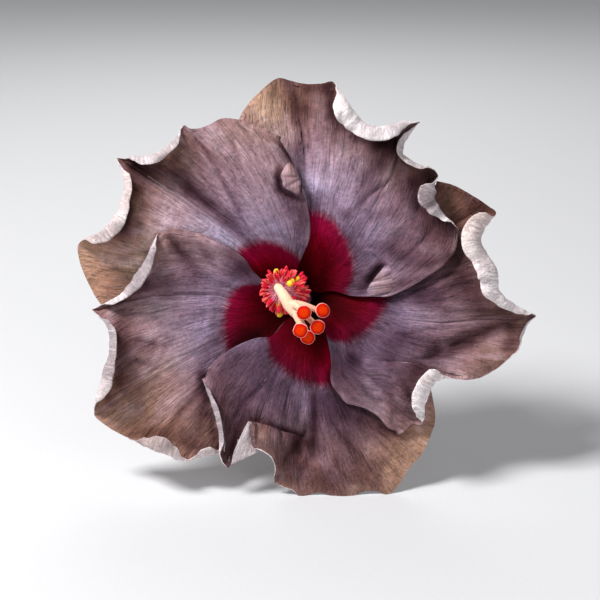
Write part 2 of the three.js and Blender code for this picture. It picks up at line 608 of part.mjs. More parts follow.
// The calyx: a cup that parts into five pointed lobes behind the petals
function calyxGeometry() {
  const across = 30;
  const along = 8;
  const points = [];
  const index = [CALYX_OUTSIDE, CALYX_INSIDE].map(lineThrough).map((line) => {
    const grid = [];
    for (let row = 0; row <= along; row += 1) {
      const ring = [];
      for (let column = 0; column < across; column += 1) {
        const turn = (column / across) * CALYX_LOBES;
        const from = Math.abs((turn % 1) - 0.5) * 2;
        const reach = CALYX_CUP + (1 - CALYX_CUP) * (1 - from ** CALYX_POINT);
        const { x: radius, y: forward } = line.getPointAt((row / along) * reach);
        const angle = (column / across) * Math.PI * 2 + THREE.MathUtils.degToRad(CALYX_BEARING);
        if (row > 0 || column === 0) {
          ring.push(points.length);
          points.push(toFace(radius * Math.cos(angle), radius * Math.sin(angle), forward));
        } else {
          ring.push(ring[0]);
        }
      }
      grid.push(ring);
    }
    return grid;
  });
  const [outside, inside] = index;
  const triangles = [];
  const push = (a, b, c) => {
    if (a !== b && b !== c && c !== a) triangles.push(a, b, c);
  };
  for (let column = 0; column < across; column += 1) {
    const next = (column + 1) % across;
    for (let row = 0; row < along; row += 1) {
      push(outside[row][column], outside[row + 1][next], outside[row + 1][column]);
      push(outside[row][column], outside[row][next], outside[row + 1][next]);
      push(inside[row][column], inside[row + 1][column], inside[row + 1][next]);
      push(inside[row][column], inside[row + 1][next], inside[row][next]);
    }
    push(outside[along][column], inside[along][next], inside[along][column]);
    push(outside[along][column], outside[along][next], inside[along][next]);
  }
  return solidGeometry(points, triangles);
}

// The epicalyx: narrow bracts that grow from a collar round the stalk's top
function epicalyxGeometry() {
  const collar = new THREE.LatheGeometry(COLLAR.map((pair) => new THREE.Vector2(...pair)), 20);
  let solid = toSolid(closed(collar));
  for (let k = 0; k < BRACTS; k += 1) {
    const path = BRACT_PATH.map(([radius, forward]) => new THREE.Vector3(radius, forward, 0));
    path[path.length - 1].y += BRACT_STEP * (k % 2);
    const blade = limbGeometry(path, BRACT_RADII, BRACT_CUTS);
    const middle = new THREE.Matrix4().makeRotationY((k / BRACTS) * Math.PI * 2 + BRACT_BEARING);
    solid = solid.add(toSolid(blade.applyMatrix4(middle)));
  }
  const turned = new THREE.Matrix4().makeRotationX(Math.PI);
  return fromSolid(solid.transform(Array.from(turned.elements)));
}

// The stalk, from under the calyx to the floor
function stalkGeometry(flower) {
  flower.updateMatrixWorld(true);
  const top = STALK_TOP.map((point) => flower.localToWorld(toFace(...point)));
  const rest = STALK_FLOOR_END.map((point) => new THREE.Vector3(...point));
  return limbGeometry([...top, ...rest], STALK_RADII, STALK_CUTS);
}

function named(name, geometry, surface) {
  const material = new THREE.MeshStandardMaterial({ ...surface, metalness: 0 });
  const mesh = new THREE.Mesh(geometry, material);
  mesh.name = name;
  return mesh;
}

const flower = new THREE.Group();
flower.rotation.x = -TILT;
flower.position.z = THROAT_HEIGHT;
for (const [name, petal] of Object.entries(PETALS)) {
  const blade = bladeGeometry(petalRows(petal));
  if (petal.flap) {
    const flap = bladeGeometry(flapRows(petal.flap, petal.bearing));
    flower.add(named(name, fromSolid(toSolid(blade).add(toSolid(flap))), MAUVE));
  } else {
    flower.add(named(name, blade, MAUVE));
  }
}
flower.add(named('staminal_column', columnGeometry(), CRIMSON));
flower.add(named('style', styleGeometry(), CREAM));
for (const [name, pad] of Object.entries(PADS)) {
  flower.add(named(name, padGeometry(pad), ORANGE_RED));
}
flower.add(named('calyx', calyxGeometry(), LEAF_GREEN));
flower.add(named('epicalyx', epicalyxGeometry(), LEAF_GREEN));

const group = new THREE.Group();
group.add(flower);
group.add(named('pedicel', stalkGeometry(flower), STALK_GREEN));
pressOnFloor(flower.getObjectByName('petal_3'));
pressOnFloor(group.getObjectByName('pedicel'));

// The origin is the middle of the underside of the whole
const bounds = new THREE.Box3().setFromObject(group, true);
const middle = bounds.getCenter(new THREE.Vector3());
for (const child of group.children) {
  child.position.x -= middle.x;
  child.position.y -= middle.y;
}

export default group;
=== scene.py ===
"""A picked hibiscus flower at rest, dressed on its frame. Lengths are millimetres until a mesh is made."""

import math

import bpy
import numpy as np
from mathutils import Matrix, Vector


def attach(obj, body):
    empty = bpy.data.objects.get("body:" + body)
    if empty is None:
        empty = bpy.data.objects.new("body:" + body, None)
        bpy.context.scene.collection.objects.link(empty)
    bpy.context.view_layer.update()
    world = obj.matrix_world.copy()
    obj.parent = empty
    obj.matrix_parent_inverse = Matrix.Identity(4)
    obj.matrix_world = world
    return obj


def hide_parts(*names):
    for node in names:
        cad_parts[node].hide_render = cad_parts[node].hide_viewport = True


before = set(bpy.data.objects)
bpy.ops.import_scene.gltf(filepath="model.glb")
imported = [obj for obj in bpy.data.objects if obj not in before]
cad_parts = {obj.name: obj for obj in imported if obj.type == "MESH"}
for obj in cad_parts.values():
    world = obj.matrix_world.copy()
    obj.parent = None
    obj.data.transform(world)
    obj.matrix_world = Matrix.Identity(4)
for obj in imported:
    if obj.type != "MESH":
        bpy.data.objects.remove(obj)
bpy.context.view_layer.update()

# How the flower stands, and where the middle of its face is
TILT = math.radians(20)
FACE_MIDDLE = (-0.676, -34.767, 60.6)

# The photograph is 600 pixels wide, shows 3.05 of them to a millimetre, and has the throat at this pixel
PHOTO_WIDTH = 600
PIXELS_PER_MM = 3.05
THROAT_PIXEL = (304, 298)
CAMERA_DISTANCE = 545
SENSOR_MM = 36

# The funnel that all five petals share. Seen from LEAN, a place keeps its spot on the face at any depth.
FUNNEL_DEPTH = 45
FUNNEL_SPREAD = 12
LEAN = 545
FOLD_START = 8
FOLD_FADE = 20

# The petal blades. EDGE_SHARE draws the rows together, and RIM_THINS is where the blade thins.
BLADE = 0.42
CLAW_RADIUS = 3.8
CLAW_HALF_ANGLE = 33
PETAL_PITCH = 72
PETAL_STEP = 3
RIM_LENGTH = 1.2
COLUMNS = 190
ROWS = 130
RIM_ROWS = 22
EDGE_SHARE = 0.2
SIDE_STEPS = 16
CREASE_STEPS = 60
LEAST_BEND = 0.01
RIM_THINNING = 0.45
RIM_THINS = (0.9, 1.1)

# The maps: millimetres to a step of a face's map, rim to a step along a blade, span of the painted shade
# gain
MAP_UNIT = 100
RIM_MAP = 60
PAINTED_GAIN_SPAN = 4

# A rim or grid that has crossed itself is smoothed for at most so many rounds, until each of its steps or
# cells is at least this share of the usual one
RIM_ROUNDS = 400
LEAST_STEP = 0.1
GRID_ROUNDS = 200
LEAST_CELL = 0.02

# Waves of a blade: [seed step, height, waves across, slant, waves along, where they begin and are full]
RIPPLES = {
    "swell": (3, 0.34, 24, 0.8, 2.5, 0.2, 0.9),
    "rib": (1, 0.13, 60, 2, 4, 0.2, 0.7),
    "crinkle": (2, 0.20, 110, 0, 12, 0.75, 1.02),
}

# The widest waves, the puckers, and how far and how near the side edges all but the crinkles grow calm
WIDE_HEIGHT = 0.50
WIDE_WAVES = (11, 1.5)
WIDE_START = 3
WIDE_FADE = 1.3
PUCKER_HEIGHT = 0.16
PUCKER_SIZE = 2.2
PUCKER_START = 60
PUCKER_FADE = (0.35, 0.9)
SIDE_CALM = 0.4
SIDE_BAND = 0.03

# Waves of a roll's radius: [seed step, height, waves across]
ROLL_WAVES = ((5, 0.09, 26), (6, 0.05, 70))

# A pleat fades in and out along its line. Beside its lip lie a dip and a band of painted shade, each as
# [strength, edges from the line, half width], and the lip slides within SLIDE_REACH.
PLEAT_START = (-0.35, 0.12)
PLEAT_END = (0.8, 1.3)
PLEAT_DIP = (0.4, 2, 2.2)
PLEAT_PAINTED_SHADE = (0.75, 1.6, 1.7)
SLIDE_REACH = 2.5
DEEPEST_PAINTED_SHADE = 0.9

# Each petal has the bearing of its middle, its two side edges from the claw outward, and its rim.
# A side point is [x, z]. A rim point is [x, z, curl in degrees, curl radius, forward lift].
# The eye gives the crimson's reach at the EYE_TURNS from the bearing.
# A pleat is [x, z, x, z, rise, edge, reach, overlap]: right of its line the blade stands forward.
# A crease is [depth, half width, painted shade, line], its line running through [x, z, strength] points.
EYE_TURNS = (-40, -5, 10, 20, 30, 40, 50, 58)
PETALS = {
    "petal_1": {
        "bearing": 66,
        "eye": (31.5, 27.4, 24.1, 22, 20.2, 18.5, 16, 14.2),
        "hidden": [(-2.6, 5.9), (-6.6, 15.7), (-11.8, 27.2), (-17, 42), (-20.7, 51.8)],
        "open": [
            (5.2, 2), (9.8, 2.3), (15.7, 0.7), (22.6, 0.5), (27.5, 0.5), (31.5, 2), (36, 4.3), (40.5, 7.2),
            (45.9, 10.8), (49.8, 16.2),
        ],
        "rim": [
            (-21.6, 57.7, 0, 0, 0), (-20, 61.3, 0, 0, 0), (-15.1, 66.9, 0, 0, -1), (-8.5, 72.1, 0, 0, -3),
            (-4.6, 71.3, 0, 0, -3), (0.7, 70.2, 0, 0, -4), (5.9, 70.3, 0, 0, -2), (9.3, 71, 20, 1, 0),
            (10.9, 68.5, 130, 3.2, 2), (13.5, 65, 174, 5.3, 3), (16.6, 61.4, 186, 5.7, 4),
            (19.7, 58.6, 190, 5.4, 4), (22.8, 57.1, 190, 4.9, 4), (26, 56.7, 188, 4.6, 3),
            (29.5, 57.8, 184, 4, 2.5), (33, 58.5, 178, 3, 1.5), (36, 58.3, 150, 1.9, 1),
            (37.9, 57.8, 100, 1, 0.3), (35.6, 55, 150, 1.5, 1), (33.5, 52.7, 166, 1.8, 1.5),
            (32.3, 50.2, 172, 1.9, 2), (32.6, 47.8, 174, 2, 2), (34.8, 45.6, 172, 2.1, 2),
            (38.1, 43.8, 165, 2, 1), (41.7, 42.5, 120, 1.4, 0), (44, 40.2, 0, 1.2, -1),
            (43.1, 38, 120, 2.4, 0.5), (42.4, 36, 178, 4.4, 2), (42.3, 33.8, 188, 4.5, 3),
            (43.8, 30.6, 188, 3.4, 3.5), (46.2, 26.9, 175, 2, 4), (48.9, 24.6, 120, 1.2, 4.5),
            (51.1, 22, 0, 1, 4.5),
        ],
        "creases": [
            (1.2, 1.7, 0.9, [
                (27.5, 12.2, 0), (25.6, 10.8, 0.9), (23.4, 8.4, 1), (21.4, 5.6, 0.9), (19.8, 3, 0.5),
            ]),
            (0.9, 1.0, 0.3, [(44, 26, 0), (40, 20, 1), (34, 14, 0.8), (29, 11, 0)]),
            (0.9, 1.0, 0.2, [(33, 44, 0), (27, 38, 1), (20, 32, 0.7), (15, 27, 0)]),
            (0.7, 1.2, 0.35, [(14, 66, 0.2), (12, 58, 1), (9, 48, 0.7), (7, 38, 0)]),
            (0.8, 0.8, 0.5, [(-2.6, 66, 0.4), (-1, 57, 1), (0.2, 48, 1), (0.4, 38, 0.3)]),
            (0.6, 0.7, 0.4, [(1, 68, 0.2), (1.6, 58, 1), (2.6, 50, 0.6), (3, 44, 0)]),
        ],
    },
    "petal_2": {
        "bearing": -6,
        "eye": (30, 27.6, 25.2, 23.6, 21.9, 20.4, 17.2, 11),
        "hidden": [(8.5, 3.9), (15.1, 9.2), (24.3, 16.4), (33.1, 24.9), (39.7, 33.1)],
        "open": [
            (4.6, -5.6), (6.6, -9.8), (7.9, -14.4), (8.9, -21), (8.9, -27.9), (10.8, -30.8), (13.8, -34.4),
            (16.4, -35.2), (20.3, -36.4), (24.3, -39), (27.5, -42.6),
        ],
        "rim": [
            (43.6, 38.4, 0, 0, -2), (48.9, 37, 0, 0, -3), (54.4, 34.1, 0, 0, -3), (60, 30.5, 0, 1, -3),
            (63, 27.9, 30, 1.2, -2.5), (60.9, 25.2, 172, 5.4, 1.5), (58.4, 21.6, 184, 6.3, 3),
            (57.9, 18.6, 190, 5.6, 4), (59.8, 14.2, 192, 4.4, 4), (61.9, 11.3, 188, 5.1, 4),
            (63.5, 7.9, 190, 6, 4), (63.9, 3.6, 188, 4.8, 3.5), (65.6, 0.3, 184, 3.4, 3),
            (69.3, -2.9, 176, 2.2, 2), (73, -4.8, 160, 1.5, 1), (76.1, -5.9, 30, 0.9, -1),
            (74.1, -7.9, 140, 1.2, -0.5), (71.8, -12.4, 160, 1.4, 0), (70.5, -16.6, 110, 1, 0.5),
            (65.9, -21.3, 40, 0.8, 1), (62, -23.9, 20, 0.8, 1), (57.7, -26.2, 0, 0, 1),
            (53.8, -26.9, 0, 0, 1), (49.8, -26.5, 40, 1, 0), (46.8, -26.2, 130, 2.6, 0),
            (43.9, -27, 182, 4.6, 2), (42.2, -29.4, 190, 4.8, 3), (40.7, -32, 190, 4.8, 3),
            (39.6, -35, 188, 4.2, 2), (39.2, -39, 172, 3, 1), (38.4, -41.3, 40, 1, 0),
            (35.4, -41.3, 0, 1, 0), (33.1, -43.6, 0, 1, 0), (30.8, -44.9, 0, 1, -1),
        ],
        "creases": [
            (1.4, 1.8, 0.5, [(37, -22, 0), (42, -19, 1), (51, -14, 1), (59, -10.5, 1), (68, -7.5, 0.2)]),
            (1.0, 1.4, 0.35, [(30, -24, 0), (34, -30, 1), (37, -36, 0.8), (38, -40, 0)]),
            (0.8, 1.2, 0.3, [(16, -24, 0), (20, -30, 1), (25, -35, 0.6), (28, -38, 0)]),
            (0.8, 1.2, 0.3, [(28, 2, 0), (38, 6, 1), (48, 8, 0.8), (56, 8, 0)]),
            (0.5, 0.8, 0.3, [(23, -9, 0), (32, -12, 1), (42, -10, 0.8), (50, -9, 0)]),
            (0.5, 0.8, 0.3, [(15, -17, 0), (20, -24, 1), (26, -30, 0.8), (31, -35, 0)]),
        ],
    },
    "petal_3": {
        "bearing": -78,
        "eye": (33, 30.2, 27.9, 26.2, 24.1, 22.7, 19.2, 17),
        "hidden": [(4.6, -6.6), (10.2, -13.1), (20, -21), (29.8, -26.2), (36.4, -27.9)],
        "open": [(-6.2, -7.5), (-10.8, -12.5), (-15.4, -13.1), (-21, -15.1), (-25.9, -18), (-30.5, -22)],
        "rim": [
            (41.3, -28.5, 0, 0, -1), (42.3, -33.4, 0, 0, -2), (43, -40, 0, 0, -2), (41.3, -45.6, 0, 0, -1),
            (38.4, -51.5, 0, 0, 0), (34.8, -55.4, 0, 0, 0), (31.5, -60.7, 0, 0, 0), (29.2, -63.3, 0, 0, 0),
            (26.9, -65, 0, 0, 0), (24.9, -63.5, 0, 0, 0), (20.3, -63.2, 0, 0, 0), (15.1, -65, 0, 0, 0),
            (10.2, -65, 0, 0, 0), (5.2, -63.6, 0, 0, 0), (-1.3, -65, 0, 1, 0), (-3.9, -63, 50, 1, 0),
            (-6.9, -61.8, 60, 1, 0), (-9.5, -60.7, 0, 1, 0), (-9.8, -58.4, 0, 1, 1),
            (-9.5, -55.7, 90, 1.2, 3), (-11.1, -52.5, 110, 1.4, 4), (-13.8, -50.5, 110, 1.4, 5),
            (-16.9, -49.2, 30, 1, 5), (-17.4, -46.4, 0, 1, 5), (-17.6, -43.4, 0, 1, 5),
            (-17.6, -41.1, 0, 1, 4), (-19.2, -44.3, 0, 1, 4), (-21.2, -48.4, 0, 1, 4),
            (-23.3, -52.7, 0, 1, 4), (-24.9, -55.7, 0, 1, 4), (-26.9, -52.1, 110, 1.2, 4),
            (-27.2, -46.6, 165, 1.6, 4), (-29.5, -37.4, 175, 1.8, 4), (-31.5, -30.8, 160, 1.5, 3),
            (-33.4, -26.6, 0, 1, 1),
        ],
        "creases": [
            (1.6, 1.5, 0.35, [
                (-12, -42.5, 0), (-7, -44.6, 0.7), (-2, -46, 1), (1.5, -42.5, 1), (3.6, -37, 0.7),
                (4.6, -29, 0),
            ]),
            (1.0, 1.3, 0.5, [(-1, -46, 0.9), (-4, -50, 0.8), (-7, -54, 0.4), (-8.5, -57, 0)]),
            (0.9, 1.2, 0.4, [(3, -42, 0.6), (2.5, -50, 1), (-0.5, -57, 0.7), (-3, -62, 0)]),
            (0.9, 1.2, 0.35, [(6, -33, 0), (10, -42, 1), (17, -50, 0.8), (22, -56, 0)]),
            (0.8, 1.3, 0.3, [(12, -27, 0), (19, -36, 1), (27, -43, 0.8), (34, -48, 0)]),
            (0.7, 1.0, 0.3, [(-9, -22, 0), (-13, -28, 1), (-20, -35, 0.8), (-24, -42, 0)]),
        ],
        "pleats": [(-18, -40.8, -1.5, -45.9, 3.0, 0.6, 10, 1.0)],
        "notch": (-17.6, -41.1),
    },
    "petal_4": {
        "bearing": -150,
        "eye": (32, 30.6, 28.3, 26.5, 25, 21.7, 12, 8),
        "hidden": [(-4.6, -7.9), (-8.9, -17), (-13.4, -26.9), (-17.7, -36.7)],
        "open": [
            (-6.6, 2.6), (-11.8, 4.6), (-16.4, 8.5), (-19.7, 13.1), (-23, 15.4), (-28.5, 18.7),
            (-34.1, 21.3), (-38.7, 22), (-43.9, 22.6),
        ],
        "rim": [
            (-21.6, -45.9, 0, 0, -1), (-24.2, -49.2, 60, 1.2, -1), (-27, -51.2, 150, 2.2, 0.5),
            (-30, -52, 180, 2.9, 1), (-33.4, -52.5, 178, 2.6, 1), (-36, -53, 150, 1.6, 0.5),
            (-38, -53.4, 150, 1, 0.2), (-40, -53, 150, 1.8, 0.5), (-43, -52.2, 178, 3.6, 1.5),
            (-46.5, -51.2, 185, 4.6, 2), (-50.5, -49.6, 185, 4.6, 2), (-53.7, -47.9, 172, 3, 1),
            (-56.8, -46.2, 60, 1.2, 0), (-60.3, -44.6, 0, 0, -1), (-65.2, -41.6, 0, 0, -2),
            (-68.7, -38.4, 0, 1, -3), (-68.3, -35.4, 110, 1.5, -1), (-67.8, -31.8, 178, 2.6, 1),
            (-66.6, -28, 184, 3.2, 2), (-65.3, -23.5, 184, 3, 2.5), (-64.3, -19.3, 180, 2.5, 2.5),
            (-63.8, -15.5, 180, 2.5, 2.5), (-63.9, -11.6, 178, 2.4, 2), (-65, -8.4, 165, 2, 1),
            (-67.2, -6, 110, 1.2, 0), (-69.5, -3.8, 0, 1, -2), (-67, -2.9, 90, 1.1, -1),
            (-62.4, -0.9, 160, 1.9, 1), (-59.2, 2.2, 178, 2.5, 2), (-56, 6.4, 184, 3.4, 3),
            (-53, 11.1, 184, 3.3, 3), (-50.5, 15.7, 180, 2.2, 3), (-48.9, 19.4, 140, 1.4, 2),
            (-47.9, 21.6, 0, 1, 0),
        ],
        "creases": [
            (0.9, 1.1, 0.4, [(-58, -14, 0.3), (-52, -14.5, 1), (-47, -16, 0.6), (-42, -15, 0)]),
            (0.7, 1.0, 0.35, [(-60, -21, 0), (-55, -21, 1), (-50, -22.5, 0.6), (-45, -23, 0)]),
            (1.0, 1.2, 0.5, [
                (-44.5, 20, 0.2), (-42.5, 17.5, 1), (-39.5, 14, 1), (-37, 11, 0.5), (-34, 8, 0),
            ]),
            (0.9, 1.2, 0.35, [(-35, 19, 0), (-32, 14, 1), (-27, 9, 0.7), (-22, 5, 0)]),
            (0.9, 1.4, 0.35, [(-45, -46, 0.3), (-40, -38, 1), (-33, -30, 0.7), (-26, -24, 0)]),
            (0.9, 1.4, 0.3, [(-30, -47, 0.3), (-29, -40, 1), (-26, -33, 0.8), (-23, -27, 0)]),
        ],
    },
    "petal_5": {
        "bearing": 138,
        "eye": (29.5, 26.6, 23.6, 20.3, 16.6, 13.2, 10, 8),
        "hidden": [(-6.2, 0.7), (-16.1, -0.7), (-29.2, -1.6), (-43.9, -3.3), (-55.4, -4.3)],
        "open": [
            (-1.3, 4.9), (-2, 9.8), (-0.7, 13.4), (1.6, 18.7), (2, 23.9), (0.7, 32.1), (-1, 37.4),
            (-2.3, 41.3), (-4.9, 46.9),
        ],
        "rim": [
            (-63, -4.9, 0, 0, -1), (-66.6, -2, 0, 0, -2), (-70.2, 3.9, 0, 0, -4), (-73.4, 11.5, 0, 0, -5),
            (-74.1, 17.4, 0, 1, -4), (-72.3, 18.9, 110, 2.2, -1), (-69.3, 20.3, 172, 3.3, 1.5),
            (-66.3, 22.4, 184, 3.9, 3), (-63.3, 25.6, 188, 3.9, 4), (-60.7, 29.4, 186, 2.9, 4),
            (-59.5, 32.8, 186, 2.4, 4), (-59.1, 36.4, 184, 2.6, 4), (-59.5, 40, 178, 2.5, 3),
            (-60.3, 43.2, 130, 1.5, 1), (-61.3, 45.9, 0, 1, -1), (-58.6, 45.4, 60, 1, 0),
            (-56.2, 46.1, 150, 2.1, 0.5), (-53.1, 46.2, 180, 2.5, 1.5), (-49.8, 46.9, 182, 2.7, 2),
            (-46.6, 48.8, 180, 2.7, 2), (-43, 51.3, 172, 2.5, 2), (-40.9, 53.6, 140, 1.8, 1),
            (-39.3, 56.7, 0, 1, 0), (-37.4, 55.6, 0, 0, 0), (-34.4, 55.7, 0, 0, -1),
            (-31.5, 56.7, 0, 0, -1), (-26.9, 58.9, 0, 0, -1), (-21, 58.4, 0, 0, -1),
            (-15.7, 56.4, 0, 0, 0), (-7.5, 52.8, 0, 0, 0),
        ],
        "creases": [
            (2.2, 2.3, 0.62, [
                (-46, 44.5, 0.5), (-38.5, 37, 1), (-33, 32, 1), (-25.8, 25.5, 1), (-19.4, 18.4, 0),
            ]),
            (0.9, 1.0, 0.5, [(-8.2, 54, 0.2), (-7, 50, 1), (-4.6, 46, 1), (-3.4, 43, 0.4)]),
            (0.8, 0.9, 0.5, [(-4.5, 52, 0.2), (-3, 47.5, 1), (-1.6, 42, 1), (-1, 38, 0.6)]),
            (1.0, 1.5, 0.8, [
                (-8, 43, 0.3), (-8.5, 39.5, 1), (-7.6, 35.6, 1), (-4.2, 33.4, 1), (-0.6, 32.8, 0.5),
            ]),
            (0.7, 0.8, 0.8, [(-2.2, 44, 0.2), (-0.6, 40, 1), (-0.8, 36, 1), (-1.2, 33, 0.5)]),
            (0.8, 1.2, 0.3, [(-24, 54, 0), (-22, 46, 1), (-18, 37, 0.8), (-14, 29, 0)]),
            (0.8, 0.8, 0.45, [(-36, 54, 0.3), (-30, 45, 1), (-24, 34, 1), (-18, 22, 0.3)]),
            (0.6, 0.7, 0.45, [(-41, 50, 0.4), (-34, 41, 1), (-27, 31, 0.8), (-20, 21, 0.3)]),
            (0.8, 1.2, 0.3, [(-64, 12, 0), (-54, 15, 1), (-44, 15, 0.8), (-33, 13, 0)]),
        ],
    },
}

# Long folds that press through every layer: outer end, inner end, height and half width
FOLDS = [
    (-5.6, 71.5, -0.7, 37, -3, 5), (-11.8, 66.6, -4.6, 35.4, 1.5, 6), (8.5, 68.2, 5.9, 32.1, 2, 8),
    (-44.6, 43.3, -18.4, 18.4, -2.6, 4), (-60.3, 27.2, -22.6, 16.4, 3, 7),
    (-22.6, 55.1, -12.8, 23.9, 2, 9), (66.5, -10.5, 38, -23.5, -3, 4), (66, -19, 48, -26, 2.4, 4.5),
    (64.3, -0.7, 31.5, -2.3, 1.5, 7), (-1.3, -49.8, 2.6, -26.9, -3, 3.5), (13.4, -56.4, 10.2, -33.4, 2, 8),
    (-11.1, -33.4, -6.2, -23.6, 2, 8), (-42.3, 12.5, -22.6, 4.3, -1.5, 6),
    (-60.3, -17, -25.9, -7.2, 1.5, 9), (-47.2, -43.3, -22.6, -20.3, -1.5, 8),
    (-34.1, -43.3, -19.3, -22, 1.5, 7),
]
